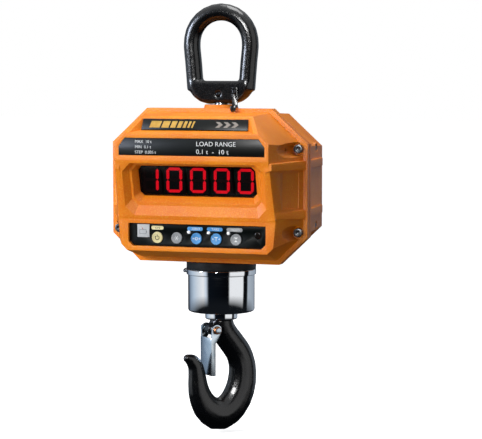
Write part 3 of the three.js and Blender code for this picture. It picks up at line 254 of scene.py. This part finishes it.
def between(tree, factor, first, second):
    mix = node_in(tree, "ShaderNodeMix", {"Factor": factor}, data_type="RGBA")
    for socket, colour in ((mix.inputs[6], first), (mix.inputs[7], second)):
        if isinstance(colour, bpy.types.NodeSocket):
            tree.links.new(colour, socket)
        else:
            socket.default_value = colour
    return mix.outputs[2]


def powder_coat():
    """Baked orange powder coat on die-cast aluminium: a fine pebbled skin with a soft broken shine, the
    pebble tips coloured lighter as a painted highlight.
    """
    s = settings()
    material, tree, shader = surface("orange_powder_coat", IOR=1.45, Coat_Weight=0.1, Coat_Roughness=0.25)
    broad = speckle(tree, 60, 1.0)
    colour = between(tree, ranged(tree, broad, 0, 1), linear(s.housing_colour), linear(s.housing_shade))
    fine = speckle(tree, s.pebble_size * 1000, 3.0)
    # Painted highlight: the tips of the fine pebbles are mixed toward a lighter orange that stands in for
    # glints of light on the grain.
    colour = between(tree, ranged(tree, fine, 0.0, 0.55, (0.5, 0.68)), colour, linear(s.housing_painted_glint))
    tree.links.new(colour, shader.inputs["Base Color"])
    tree.links.new(ranged(tree, fine, 0.32, 0.52), shader.inputs["Roughness"])
    bump(tree, shader, fine, 0.9, 0.9)
    return material


def forged_enamel():
    """Gloss black enamel flowed over a forging: deep shine that rolls over the hammered skin below."""
    s = settings()
    material, tree, shader = surface("black_gloss_enamel", IOR=1.45, Coat_Weight=0.3, Coat_Roughness=0.08)
    broad = speckle(tree, 14, 2.0)
    fine = speckle(tree, 1.2, 2.0)
    colour = between(tree, ranged(tree, broad, 0, 1), linear(s.enamel_colour), linear("#06070a"))
    tree.links.new(colour, shader.inputs["Base Color"])
    tree.links.new(ranged(tree, fine, 0.2, 0.3), shader.inputs["Roughness"])
    mixed = node_in(tree, "ShaderNodeMath", {0: broad, 1: ranged(tree, fine, -0.06, 0.06)}, operation="ADD")
    bump(tree, shader, mixed.outputs[0], 0.8, 0.5)
    return material


def mirror_chrome():
    """Bright chromium plate over turned steel: a mirror with faint lathe lines round the axis."""
    material, tree, shader = surface("mirror_chrome", Base_Color=linear("#e3e6ea"), Metallic=1.0)
    rings = speckle(tree, 0.9, 1.0, (0.02, 0.02, 1.0))
    tree.links.new(ranged(tree, rings, 0.035, 0.09), shader.inputs["Roughness"])
    bump(tree, shader, rings, 0.01, 0.15)
    return material


def zinc_sheet():
    """Bright zinc plate on pressed sheet: bluish silver with a soft grain along the pressing."""
    material, tree, shader = surface("zinc_plated_sheet", Metallic=1.0)
    grain = speckle(tree, 1.2, 3.0, (1.0, 1.0, 0.12))
    cloud = speckle(tree, 18, 2.0)
    colour = between(tree, ranged(tree, cloud, 0, 1), linear("#dfe8ee"), linear("#b8c8d4"))
    tree.links.new(colour, shader.inputs["Base Color"])
    tree.links.new(ranged(tree, grain, 0.16, 0.3), shader.inputs["Roughness"])
    bump(tree, shader, grain, 0.02, 0.3)
    return material


def machined_steel(name="machined_steel", colour="#8e9296", dark="#5f6367", rough=(0.22, 0.42)):
    """Machined steel with a light oil film: fine tool marks and cloudy darkening."""
    material, tree, shader = surface(name, Metallic=1.0)
    marks = speckle(tree, 0.6, 3.0, (1.0, 1.0, 0.3))
    cloud = speckle(tree, 6, 3.0)
    tint = between(tree, ranged(tree, cloud, 0, 1), linear(colour), linear(dark))
    tree.links.new(tint, shader.inputs["Base Color"])
    tree.links.new(ranged(tree, marks, *rough), shader.inputs["Roughness"])
    bump(tree, shader, marks, 0.015, 0.3)
    return material


def moulded(name, colour, shade, rough=(0.32, 0.46), grain_mm=0.5, depth_mm=0.02):
    """Injection-moulded or printed plastic: even colour, a fine spark-eroded grain, soft shine."""
    material, tree, shader = surface(name, IOR=1.45, Specular_IOR_Level=0.35)
    grain = speckle(tree, grain_mm, 2.0)
    cloud = speckle(tree, 12, 2.0)
    tint = between(tree, ranged(tree, cloud, 0, 1), linear(colour), linear(shade))
    tree.links.new(tint, shader.inputs["Base Color"])
    tree.links.new(ranged(tree, grain, *rough), shader.inputs["Roughness"])
    bump(tree, shader, grain, depth_mm, 0.4)
    return material


def lit(name, colour, strength):
    """A diode's light under a diffusing cover: saturated, brighter in the middle of its grain."""
    material, tree, shader = surface(name, Roughness=0.4, Emission_Strength=strength)
    cloud = speckle(tree, 2.0, 1.0)
    glow = between(tree, ranged(tree, cloud, 0, 1), linear(colour), tuple(0.86 * c for c in linear(colour)))
    tree.links.new(glow, shader.inputs["Emission Color"])
    shader.inputs["Base Color"].default_value = linear(colour)
    return material


def window_acrylic():
    """Smoke-red cast acrylic, flame polished: nearly black until something behind it is lit."""
    material, tree, shader = surface(
        "smoked_acrylic", Base_Color=linear("#0a0506"), IOR=1.49, Alpha=0.3
    )
    smear = speckle(tree, 25, 2.0, (1.0, 1.0, 0.3))
    tree.links.new(ranged(tree, smear, 0.02, 0.06), shader.inputs["Roughness"])
    return material


class Finishes:
    """Every material, made once."""

    def __init__(self):
        self.coat = powder_coat()
        self.enamel = forged_enamel()
        self.chrome = mirror_chrome()
        self.zinc = zinc_sheet()
        self.steel = machined_steel()
        self.oxide = machined_steel("black_oxide_steel", "#3c3f42", "#1d1f21", (0.25, 0.4))
        self.screw = machined_steel("phosphated_screw", "#74787b", "#4d5053", (0.3, 0.45))
        self.copper = machined_steel("copper_plated_nut", "#c98a5e", "#8a5230", (0.2, 0.34))
        self.rubber = moulded("black_moulded_rubber", "#14181a", "#0b0e10", (0.42, 0.58), 0.8, 0.05)
        self.plate = moulded("back_printed_acrylic", "#020806", "#010403", (0.3, 0.38), 1.5, 0.004)
        self.module = moulded("digit_module_case", "#050505", "#030303", (0.6, 0.7))
        self.unlit = moulded("unlit_segment", "#2a1416", "#22100f", (0.4, 0.5))
        self.digit = lit("crimson_diodes", "#e6081f", settings().digit_glow)
        self.white = lit("white_indicator", "#f4f6f8", 0.35)
        self.frost = moulded("frosted_lamp_cover", "#c9ccce", "#bfc2c5", (0.3, 0.4))
        self.window = window_acrylic()
        self.board = moulded("solder_mask", "#1c6b3c", "#124a29", (0.3, 0.4))
        self.case = moulded("battery_case", "#26282b", "#1a1c1f")
        self.cream = moulded("cream_key", "#efe6b8", "#d9cd92")
        self.grey = moulded("grey_key", "#a9acae", "#8b8f92")
        self.blue = moulded("blue_key", "#62a8e6", "#4a90d0")
        self.ink_dark = moulded("dark_print", "#23282c", "#15191c")
        self.ink_white = moulded("white_print", "#eef0f0", "#dfe2e2")
        self.ink_gold = moulded("gold_print", "#d9b45c", "#b98f3c", (0.25, 0.35))
        self.ink_silver = moulded("silver_print", "#a7a29c", "#8b8680", (0.25, 0.35))
        self.ink_grey = moulded("grey_print", "#8f9499", "#80858a")
        self.ink_red = moulded("red_print", "#c8402c", "#b03020")
        self.lens = moulded("infrared_lens", "#1d1714", "#0d0a09", (0.06, 0.1))

    def for_slot(self, slot):
        return {
            "housing_orange": self.coat, "black_enamel": self.enamel, "bare_steel": self.steel,
            "chrome": self.chrome, "zinc_plate": self.zinc, "black_rubber": self.rubber,
            "black_acrylic": self.plate, "window_acrylic": self.window, "led_red": self.module,
            "circuit_board": self.board, "battery_case": self.case, "key_cream": self.cream,
            "key_grey": self.grey, "key_blue": self.blue, "lamp_white": self.white,
            "copper_plate": self.copper,
        }[slot]


_made = []


def finishes():
    if not _made:
        _made.append(Finishes())
    return _made[0]


# ---------------------------------------------------------------- settings


class CraneScaleSettings(bpy.types.PropertyGroup):
    housing_colour: bpy.props.StringProperty(
        name="Housing colour", description="Powder coat, sRGB hex", default="#fa8e04")
    housing_shade: bpy.props.StringProperty(
        name="Housing shade", description="Cloudy variation of the powder coat, sRGB hex", default="#f07a02")
    # Painted highlight colour mixed onto the pebble tips of the powder coat, standing in for glints of light.
    housing_painted_glint: bpy.props.StringProperty(
        name="Housing glint", description="Tips of the pebbled skin, sRGB hex", default="#ffb636")
    enamel_colour: bpy.props.StringProperty(
        name="Enamel colour", description="Ring and hook enamel, sRGB hex", default="#030405")
    pebble_size: bpy.props.FloatProperty(
        name="Pebble size", description="Grain of the powder coat", default=0.0019, unit="LENGTH")
    casting_radius: bpy.props.FloatProperty(
        name="Casting radius", description="Edge radius of the housing halves in mm", default=1.3, min=0.1)
    forging_cell: bpy.props.FloatProperty(
        name="Forging cell", description="Mesh size of the forged pieces", default=0.0016, unit="LENGTH")
    digit_glow: bpy.props.FloatProperty(
        name="Digit glow", description="Brightness of the lit segments", default=1.35, min=0.0)
    digit_slant: bpy.props.FloatProperty(
        name="Digit slant", description="Lean of the digits", default=math.radians(5), subtype="ANGLE")
    camera_distance: bpy.props.FloatProperty(
        name="Camera distance", description="From the load axis", default=2.89, unit="LENGTH")
    camera_height: bpy.props.FloatProperty(
        name="Camera height", description="Over the top of the ring's eye", default=-0.06, unit="LENGTH")
    camera_turn: bpy.props.FloatProperty(
        name="Camera turn", description="To the right of the front", subtype="ANGLE",
        default=math.radians(19))


# ---------------------------------------------------------------- stage


def studio_world():
    """Soft boxes and black flags round the object as mirrors see them, even light for matt surfaces."""
    world = bpy.data.worlds.new("studio")
    world.use_nodes = True
    tree = world.node_tree
    tree.nodes.clear()
    direction = node_in(tree, "ShaderNodeTexCoord").outputs["Generated"]
    turned = node_in(
        tree, "ShaderNodeVectorRotate", {"Vector": direction, "Angle": -settings().camera_turn},
        rotation_type="Z_AXIS",
    ).outputs["Vector"]
    axes = node_in(tree, "ShaderNodeSeparateXYZ", {"Vector": turned})
    ahead = node_in(tree, "ShaderNodeMath", {0: axes.outputs["Y"], 1: -1.0}, operation="MULTIPLY")
    angle = node_in(tree, "ShaderNodeMath", {0: axes.outputs["X"], 1: ahead.outputs[0]}, operation="ARCTAN2")
    around = node_in(
        tree, "ShaderNodeMapRange", {"Value": angle.outputs[0], "From Min": -math.pi, "From Max": math.pi}
    ).outputs["Result"]
    ramp = node_in(tree, "ShaderNodeValToRGB", {"Fac": around})
    panels = (
        (-180, "#30343a"), (-150, "#3a4048"), (-136, "#8a9aae"), (-110, "#c4d4e4"), (-66, "#ffffff"),
        (-54, "#dbe6f2"), (-45, "#0c1118"), (25, "#050608"), (30, "#ffffff"), (80, "#ffffff"),
        (84, "#0a0c0f"), (100, "#0a0c0f"), (106, "#b9c2cc"), (156, "#9aa4b0"), (166, "#1d2126"),
    )
    elements = ramp.color_ramp.elements
    for place, (degrees, colour) in enumerate(panels):
        position = (degrees + 180) / 360
        element = elements[place] if place < 2 else elements.new(position)
        element.position = position
        element.color = linear(colour)
    rise = node_in(tree, "ShaderNodeMath", {0: axes.outputs["Z"]}, operation="ABSOLUTE")
    steep = ranged(tree, rise.outputs[0], 0.0, 1.0, (0.5, 0.62))
    low = ranged(tree, axes.outputs["Z"], 1.0, 0.0, (-0.36, -0.2))
    sunk = ranged(tree, axes.outputs["Z"], 0.0, 1.0, (-0.1, 0.1))
    band = node_in(tree, "ShaderNodeMix", {0: sunk, 2: low, 3: steep}).outputs[0]
    caps = between(tree, sunk, linear("#15181c"), linear("#f4f6f8"))
    mirrored = between(tree, band, ramp.outputs["Color"], caps)
    rays = node_in(tree, "ShaderNodeLightPath").outputs
    right_side = ranged(tree, axes.outputs["X"], 0.0, 1.0, (-0.1, 0.8))
    even = between(tree, right_side, linear("#85898f"), linear("#200a08"))
    matt = between(tree, rays["Is Diffuse Ray"], mirrored, even)
    seen = between(tree, rays["Is Camera Ray"], matt, linear("#ffffff"))
    light = node_in(tree, "ShaderNodeBackground", {"Color": seen, "Strength": 1.0})
    node_in(tree, "ShaderNodeOutputWorld", {"Surface": light.outputs["Background"]})
    bpy.context.scene.world = world


def soft_box(name, place, aim, size, power, colour="#ffffff", mirrored=True, matt=True):
    data = bpy.data.lights.new(name, "AREA")
    data.shape = "RECTANGLE"
    data.size, data.size_y = size
    data.energy = power
    data.color = linear(colour)[:3]
    lamp = bpy.data.objects.new(name, data)
    bpy.context.scene.collection.objects.link(lamp)
    lamp.location = place
    lamp.rotation_euler = (Vector(aim) - Vector(place)).to_track_quat("-Z", "Y").to_euler()
    lamp.visible_camera = False
    lamp.visible_glossy = mirrored
    lamp.visible_diffuse = matt


def pale_floor():
    bpy.ops.mesh.primitive_plane_add(size=30, location=(0, 0, cad_low[2] - 0.004))
    floor = bpy.context.object
    floor.name = "floor"
    material, _, shader = surface("pale_floor", Roughness=0.9, Base_Color=linear("#f6f6f6"))
    shader.inputs["Emission Color"].default_value = linear("#ffffff")
    shader.inputs["Emission Strength"].default_value = 0.78
    floor.data.materials.append(material)
    floor.visible_glossy = False
    floor.visible_diffuse = False
    floor.visible_transmission = False


class CRANESCALE_OT_stage(bpy.types.Operator):
    """Set up the camera, the pale floor and the studio light"""

    bl_idname = "crane_scale.stage"
    bl_label = "Stage"

    def execute(self, context):
        s = settings()
        right = Vector((math.cos(s.camera_turn), math.sin(s.camera_turn), 0))
        place = Vector((math.sin(s.camera_turn), -math.cos(s.camera_turn), 0)) * s.camera_distance
        place.z = s.camera_height
        aim = right * 0.0297 + Vector((0, 0, -0.298))
        data = bpy.data.cameras.new("camera")
        data.lens = 143.8
        data.sensor_width = 36
        camera = bpy.data.objects.new("camera", data)
        context.scene.collection.objects.link(camera)
        camera.location = place
        camera.rotation_euler = (aim - place).to_track_quat("-Z", "Y").to_euler()
        context.scene.camera = camera
        context.scene.view_settings.view_transform = "Standard"
        studio_world()
        soft_box("key", (-1.5, -2.6, 0.9), (0, 0, -0.25), (1.2, 1.0), 72, mirrored=False)
        soft_box("glint_front", (0.2, -2.8, 0.75), (0, 0, -0.2), (0.5, 0.5), 46, matt=False)
        soft_box("glint_left", (-2.3, -1.6, 0.5), (0, 0, -0.2), (0.5, 1.0), 60, "#dfeaff", matt=False)
        soft_box("top", (0.2, 0.1, 1.5), (0, 0, -0.2), (1.0, 0.8), 20)
        soft_box("fill", (-0.2, -3.0, -0.5), (0, 0, -0.3), (0.8, 0.8), 18, mirrored=False)
        pale_floor()
        return {"FINISHED"}


# ---------------------------------------------------------------- forged and cast pieces


def forged(node, material, passes, name):
    """A CAD node with its facets melted into a forging's continuous skin."""
    obj = copy_of(node)
    apply_modifier(obj, "REMESH", mode="VOXEL", voxel_size=settings().forging_cell)
    apply_modifier(obj, "SMOOTH", factor=0.5, iterations=passes)
    return finish_piece(obj, name, material, NODE_BODY[node], 180, (node,))


def hardware(nodes, width, segments=2):
    """Small hard pieces with their edges broken, each in its own slot's finish."""
    for node in nodes:
        refined(node, finishes().for_slot(NODE_SLOT[node]), width, segments=segments)


class CRANESCALE_OT_ring(bpy.types.Operator):
    """Build the forged suspension ring with its pin and lock"""

    bl_idname = "crane_scale.ring"
    bl_label = "Suspension ring"

    def execute(self, context):
        forged("suspension_ring", finishes().enamel, 14, "forged_ring")
        refined("ring_cross_pin", finishes().oxide, 0.4)
        refined("ring_lock_tab", finishes().enamel, 0.5)
        refined("lock_tab_screw", finishes().oxide, 0.3)
        return {"FINISHED"}


class CRANESCALE_OT_housing(bpy.types.Operator):
    """Build the cast housing halves, their gasket and screws"""

    bl_idname = "crane_scale.housing"
    bl_label = "Housing"

    def execute(self, context):
        s = settings()
        refined("front_housing", finishes().coat, s.casting_radius, "front_casting", 3, 14, 30)
        refined("rear_housing", finishes().coat, s.casting_radius, "rear_casting", 3, 14, 30)
        refined("housing_gasket", finishes().rubber, 0.3)
        for node in CAD:
            if node.startswith(("housing_screw", "side_screw")):
                refined(node, finishes().screw, 0.35)
        return {"FINISHED"}


class CRANESCALE_OT_battery(bpy.types.Operator):
    """Build the rear battery door, its quarter-turn lock and the pack"""

    bl_idname = "crane_scale.battery"
    bl_label = "Battery door"

    def execute(self, context):
        refined("battery_door", finishes().coat, 1.0, segments=3)
        hardware(("battery_door_lock", "battery_door_pin", "battery_pack"), 0.5)
        return {"FINISHED"}


class CRANESCALE_OT_insides(bpy.types.Operator):
    """Build the load cell, the chassis and the boards"""

    bl_idname = "crane_scale.insides"
    bl_label = "Insides"

    def execute(self, context):
        hardware(("load_cell", "chassis", "chassis_bolt"), 0.6)
        hardware(("main_board", "display_board", "key_board"), 0.15, 1)
        return {"FINISHED"}


# ---------------------------------------------------------------- printed and lit artwork


def art_frame(node, x, z):
    """Where a line along +Y meets a CAD node's front at x, z in mm: a frame with X right, Y up, Z outward."""
    mesh = CAD[node].data
    tree = BVHTree.FromPolygons([v.co for v in mesh.vertices], [face.vertices for face in mesh.polygons])
    place, normal, _, _ = tree.ray_cast(Vector((x * MM, -0.3, z * MM)), Vector((0, 1, 0)))
    if place is None:
        raise RuntimeError(f"{node} has no front at {x}, {z}")
    right = Vector((1, 0, 0))
    up = normal.cross(right).normalized()
    return Matrix.Translation(place) @ Matrix((right, up, normal)).transposed().to_4x4()


def prisms(outlines, base, sink, rise, name):
    """Closed prisms from outlines in mm on a frame, from sink below its surface to rise above it."""
    mesh = bpy.data.meshes.new(name)
    rows = bmesh.new()
    for outline in outlines:
        levels = [
            [rows.verts.new(base @ Vector((x * MM, y * MM, level * MM))) for x, y in outline]
            for level in (-sink, rise)
        ]
        rows.faces.new(levels[0])
        rows.faces.new(levels[1])
        for i in range(len(outline)):
            j = (i + 1) % len(outline)
            rows.faces.new((levels[0][i], levels[0][j], levels[1][j], levels[1][i]))
    bmesh.ops.recalc_face_normals(rows, faces=rows.faces)
    rows.to_mesh(mesh)
    rows.free()
    obj = bpy.data.objects.new(name, mesh)
    bpy.context.scene.collection.objects.link(obj)
    return obj


def round_shape(x, y, width, height, corner, steps=6):
    """A rounded rectangle's outline in mm."""
    points = []
    for turn, (sx, sy) in enumerate(((1, 1), (-1, 1), (-1, -1), (1, -1))):
        for step in range(steps + 1):
            angle = math.radians(90 * (turn + step / steps))
            points.append((
                x + sx * (width / 2 - corner) + corner * math.cos(angle),
                y + sy * (height / 2 - corner) + corner * math.sin(angle),
            ))
    return points


def arc_band(x, y, inner, outer, start=0.0, end=360.0, steps=40):
    """A ring or an arc as quadrilaterals, in mm and degrees."""
    quads = []
    for i in range(steps):
        low, high = (math.radians(start + (end - start) * (i + k) / steps) for k in (0, 1))
        quads.append([
            (x + r * math.cos(a), y + r * math.sin(a))
            for r, a in ((inner, low), (outer, low), (outer, high), (inner, high))
        ])
    return quads


def arc_outline(x, y, inner, outer, start, end, steps=24):
    """An open arc's outline in mm and degrees."""
    angles = [math.radians(start + (end - start) * i / steps) for i in range(steps + 1)]
    there = [(x + outer * math.cos(a), y + outer * math.sin(a)) for a in angles]
    back = [(x + inner * math.cos(a), y + inner * math.sin(a)) for a in reversed(angles)]
    return there + back


def stroke(x0, y0, x1, y1, width):
    """A straight bar's outline in mm."""
    along = Vector((x1 - x0, y1 - y0)).normalized() * width / 2
    side = Vector((-along.y, along.x))
    return [(x0 - side.x, y0 - side.y), (x1 - side.x, y1 - side.y),
            (x1 + side.x, y1 + side.y), (x0 + side.x, y0 + side.y)]


def lettering(body, size, base, x, y, stretch=1.0, align="LEFT", name="lettering"):
    """Text standing slightly proud of a frame; size, x and y in mm."""
    curve = bpy.data.curves.new(name, "FONT")
    curve.body = body
    curve.size = size * MM
    curve.extrude = 0.06 * MM
    curve.align_x = align
    curve.resolution_u = 3
    obj = bpy.data.objects.new(name, curve)
    bpy.context.scene.collection.objects.link(obj)
    obj.matrix_world = base @ Matrix.Translation((x * MM, y * MM, 0.0)) @ Matrix.Diagonal((stretch, 1, 1, 1))
    select_only(obj)
    bpy.ops.object.convert(target="MESH")
    bpy.ops.object.transform_apply(location=True, rotation=True, scale=True)
    edit(obj, "VERT")
    bpy.ops.mesh.select_all(action="SELECT")
    bpy.ops.mesh.remove_doubles(threshold=1e-7)
    bpy.ops.mesh.normals_make_consistent(inside=False)
    leave_edit()
    return obj


SEGMENTS = {
    "a": ("H", 0, 1), "g": ("H", 0, 0), "d": ("H", 0, -1),
    "b": ("V", 1, 0.5), "c": ("V", 1, -0.5), "e": ("V", -1, -0.5), "f": ("V", -1, 0.5),
}
DIGITS = {"0": "abcdef", "1": "bc"}
READING = "10000"
DIGIT_WIDE, DIGIT_TALL, BAR = 24.4, 38.2, 4.3


def segment(name, lean):
    """One bar of a seven-segment digit as a six-cornered outline in mm, leaning right."""
    kind, across, up = SEGMENTS[name]
    half_x, half_y, gap, half = (DIGIT_WIDE - BAR) / 2, (DIGIT_TALL - BAR) / 2, 0.35, BAR / 2
    if kind == "H":
        reach = half_x - gap
        flat = [(-reach, 0), (half - reach, half), (reach - half, half), (reach, 0), (reach - half, -half),
                (half - reach, -half)]
    else:
        reach = half_y / 2 - gap
        flat = [(0, reach), (half, reach - half), (half, half - reach), (0, -reach), (-half, half - reach),
                (-half, reach - half)]
    centre_x, centre_y = across * half_x, up * half_y
    return [(x + centre_x + (y + centre_y) * math.tan(lean), y + centre_y) for x, y in flat]


class CRANESCALE_OT_display(bpy.types.Operator):
    """Build the plates, the window and the five lit digits"""

    bl_idname = "crane_scale.display"
    bl_label = "Display"

    def execute(self, context):
        refined("name_plate", finishes().plate, 0.2)
        refined("capacity_plate", finishes().plate, 0.2)
        window = refined("display_window", finishes().window, 0.3)
        window.data.materials.append(finishes().plate)
        for face in window.data.polygons:
            face.material_index = 0 if face.area > 0.001 else 1
        lit_bars, dark_bars = [], []
        for i, shown in enumerate(READING):
            node = f"digit_module_{i + 1}"
            refined(node, finishes().module, 0.3)
            middle = centre_of(node) / MM
            base = art_frame(node, middle.x, middle.z) @ Matrix.Translation((0, -0.8 * MM, 0))
            for name in SEGMENTS:
                outline = [segment(name, settings().digit_slant)]
                if name in DIGITS[shown]:
                    lit_bars.append(prisms(outline, base, 0.2, 0.25, "bar"))
                else:
                    dark_bars.append(prisms(outline, base, 0.2, 0.2, "bar"))
        finish_piece(join_all(lit_bars), "lit_segments", finishes().digit, "scale_body")
        finish_piece(join_all(dark_bars), "unlit_segments", finishes().unlit, "scale_body")
        self.print_name_plate()
        self.print_capacity()
        return {"FINISHED"}

    def print_name_plate(self):
        """Plain slanted stripes in gold and three chevrons in silver."""
        middle = centre_of("name_plate") / MM
        base = art_frame("name_plate", 0, middle.z)
        stripes = []
        place = -68.0
        for width in (16, 11, 8, 6, 4.5, 3.5, 2.5):
            foot, head = place - 1.5, place + 1.5
            stripes.append([(foot, -5), (foot + width, -5), (head + width, 5), (head, 5)])
            place += width + 2.6
        gold = prisms(stripes, base, 0.05, 0.08, "gold")
        finish_piece(gold, "name_plate_stripes", finishes().ink_gold, "scale_body")
        chevrons = []
        for place in (32, 44, 56):
            chevrons.append([
                (place, -4.2), (place + 6, -4.2), (place + 11, 0),
                (place + 6, 4.2), (place, 4.2), (place + 5, 0),
            ])
        silver = prisms(chevrons, base, 0.05, 0.08, "silver")
        finish_piece(silver, "name_plate_chevrons", finishes().ink_silver, "scale_body")

    def print_capacity(self):
        """Plain load figures in white."""
        middle = centre_of("capacity_plate") / MM
        base = art_frame("capacity_plate", 0, middle.z)
        words = [
            lettering("MAX  10 t", 6.0, base, -86, 5.4),
            lettering("MIN  0.1 t", 6.0, base, -86, -2.3),
            lettering("STEP  0.005 t", 6.0, base, -86, -10.0),
            lettering("LOAD RANGE", 9.4, base, 8, 1.8, 1.02),
            lettering("0.1 t  -  10 t", 9.4, base, 8, -9.4, 1.08),
        ]
        finish_piece(
            join_all(words), "capacity_print", finishes().ink_white, "scale_body", 30
        )


class CRANESCALE_OT_keys(bpy.types.Operator):
    """Build the key panel, its five keys, lamps and infrared lens"""

    bl_idname = "crane_scale.keys"
    bl_label = "Keys"

    def execute(self, context):
        refined("key_panel", finishes().plate, 0.2)
        for name in KEY_NAMES:
            refined("key_" + name, finishes().for_slot(NODE_SLOT["key_" + name]), 0.4)
        hardware(("lamp_zero", "lamp_tare", "lamp_hold"), 0.3)
        refined("low_battery_lamp", finishes().frost, 0.4)
        refined("ir_lens", finishes().lens, 0.8, segments=3)
        for name in KEY_NAMES:
            self.print_key(name)
        self.print_panel()
        return {"FINISHED"}

    def print_key(self, name):
        """A rim line and a plain symbol on a key's cap; both ride on the key."""
        node = "key_" + name
        middle = centre_of(node) / MM
        base = art_frame(node, middle.x, middle.z)
        ink = finishes().ink_dark if name == "power" else finishes().ink_white
        arrows = [[(-5.6, 1.6), (-3.4, 0), (-5.6, -1.6)], [(5.6, 1.6), (5.6, -1.6), (3.4, 0)]]
        symbols = {
            "power": [arc_outline(0, -0.3, 2.5, 3.5, 125, 415), stroke(0, 0.3, 0, 4.2, 1.0)],
            "light": [
                stroke(-3.6, 0, 3.6, 0, 0.8), stroke(-1.8, -3.1, 1.8, 3.1, 0.8),
                stroke(-1.8, 3.1, 1.8, -3.1, 0.8),
            ],
            "zero": [*arc_band(0, 0, 1.4, 2.4, steps=28), *arrows],
            "tare": [stroke(-2.6, 2.6, 2.6, 2.6, 1.0), stroke(0, 2.1, 0, -3.2, 1.0), *arrows],
            "hold": [[(-3.0, 3.4), (0, 0.2), (3.0, 3.4)], [(-3.0, -3.4), (3.0, -3.4), (0, -0.2)]],
        }
        rim = arc_band(0, 0, 6.5, 7.1, steps=48)
        marks = prisms([*symbols[name], *rim], base, 0.6, 0.08, "marks")
        finish_piece(marks, f"{node}_symbol", ink, NODE_BODY[node], 30)

    def print_panel(self):
        """Name tags above four of the keys, and a battery sign on the warning lamp."""
        tags = (
            ("power", 0.0, 19.0, "ON", "cream"), ("zero", -2.4, 24.0, "ZERO", "blue"),
            ("tare", -2.4, 24.0, "TARE", "blue"), ("hold", -2.4, 24.0, "HOLD", "grey"),
        )
        for name, shift, width, word, colour in tags:
            middle = centre_of("key_" + name) / MM
            base = art_frame("key_panel", middle.x + shift, middle.z + 14.2)
            tag = prisms([round_shape(0, 0, width, 5.6, 2.7)], base, 0.05, 0.12, "tag")
            fill = getattr(finishes(), colour)
            finish_piece(tag, f"tag_{name}", fill, "scale_body", 30)
            lifted = base @ Matrix.Translation((0, 0, 0.12 * MM))
            ink = finishes().ink_dark if colour == "cream" else finishes().ink_white
            words = lettering(word, 4.6, lifted, 1.0 if shift else 0.0, -1.6, 1.1, "CENTER")
            finish_piece(words, f"tag_{name}_word", ink, "scale_body", 30)
        middle = centre_of("low_battery_lamp") / MM
        base = art_frame("low_battery_lamp", middle.x, middle.z)
        rim = [
            stroke(-6, 1.5, 4.6, 1.5, 0.7), stroke(-6, -4.5, 4.6, -4.5, 0.7),
            stroke(-5.7, 1.2, -5.7, -4.2, 0.7),
            stroke(4.3, 1.2, 4.3, -4.2, 0.7), stroke(5.3, -0.2, 5.3, -2.8, 1.2),
        ]
        sign = prisms(rim, base, 0.3, 0.08, "sign")
        finish_piece(sign, "low_battery_sign", finishes().ink_grey, "scale_body", 30)
        bolt = [(-4.6, 6.6), (-1.2, 4.4), (-2.2, 3.9), (0.8, 0.6), (-2.0, 3.0), (-1.0, 3.5)]
        spark = prisms([bolt], base, 0.3, 0.08, "spark")
        finish_piece(spark, "low_battery_spark", finishes().ink_red, "scale_body", 30)


class CRANESCALE_OT_cup(bpy.types.Operator):
    """Build the chromed swivel cup, its clamp band and bearing"""

    bl_idname = "crane_scale.cup"
    bl_label = "Swivel cup"

    def execute(self, context):
        refined("cup_collar", finishes().rubber, 0.6)
        refined("cup_band", finishes().chrome, 0.3)
        refined("cup_band_screw", finishes().steel, 0.3)
        refined("swivel_cup", finishes().chrome, 0.8)
        hardware(("swivel_head", "bearing_lower_race", "bearing_roller_cage", "bearing_upper_race"), 0.4)
        hardware(("hook_nut", "hook_nut_pin"), 0.4)
        return {"FINISHED"}


class CRANESCALE_OT_hook(bpy.types.Operator):
    """Build the forged hook with its sprung safety latch"""

    bl_idname = "crane_scale.hook"
    bl_label = "Hook"

    def execute(self, context):
        forged("hook", finishes().enamel, 16, "forged_hook")
        refined("hook_collar", finishes().chrome, 0.6)
        refined("latch", finishes().zinc, 0.35)
        refined("latch_pin", finishes().zinc, 0.4)
        refined("latch_nut", finishes().copper, 0.4)
        refined("latch_spring", finishes().steel, 0.1)
        return {"FINISHED"}


# ---------------------------------------------------------------- add-on


STEPS = (
    CRANESCALE_OT_stage, CRANESCALE_OT_ring, CRANESCALE_OT_housing, CRANESCALE_OT_battery,
    CRANESCALE_OT_insides, CRANESCALE_OT_display, CRANESCALE_OT_keys, CRANESCALE_OT_cup, CRANESCALE_OT_hook,
)


class CRANESCALE_PT_panel(bpy.types.Panel):
    bl_label = "Crane Scale"
    bl_idname = "CRANESCALE_PT_panel"
    bl_space_type = "VIEW_3D"
    bl_region_type = "UI"
    bl_category = "Crane Scale"

    def draw(self, context):
        for key in CraneScaleSettings.__annotations__:
            self.layout.prop(context.scene.crane_scale, key)
        for step in STEPS:
            self.layout.operator(step.bl_idname)


def register():
    for cls in (CraneScaleSettings, *STEPS, CRANESCALE_PT_panel):
        bpy.utils.register_class(cls)
    bpy.types.Scene.crane_scale = bpy.props.PointerProperty(type=CraneScaleSettings)


def unregister():
    del bpy.types.Scene.crane_scale
    for cls in (CRANESCALE_PT_panel, *reversed(STEPS), CraneScaleSettings):
        bpy.utils.unregister_class(cls)


def main():
    register()
    bpy.ops.crane_scale.stage()
    bpy.ops.crane_scale.ring()
    bpy.ops.crane_scale.housing()
    bpy.ops.crane_scale.battery()
    bpy.ops.crane_scale.insides()
    bpy.ops.crane_scale.display()
    bpy.ops.crane_scale.keys()
    bpy.ops.crane_scale.cup()
    bpy.ops.crane_scale.hook()


if __name__ == "__main__":
    main()
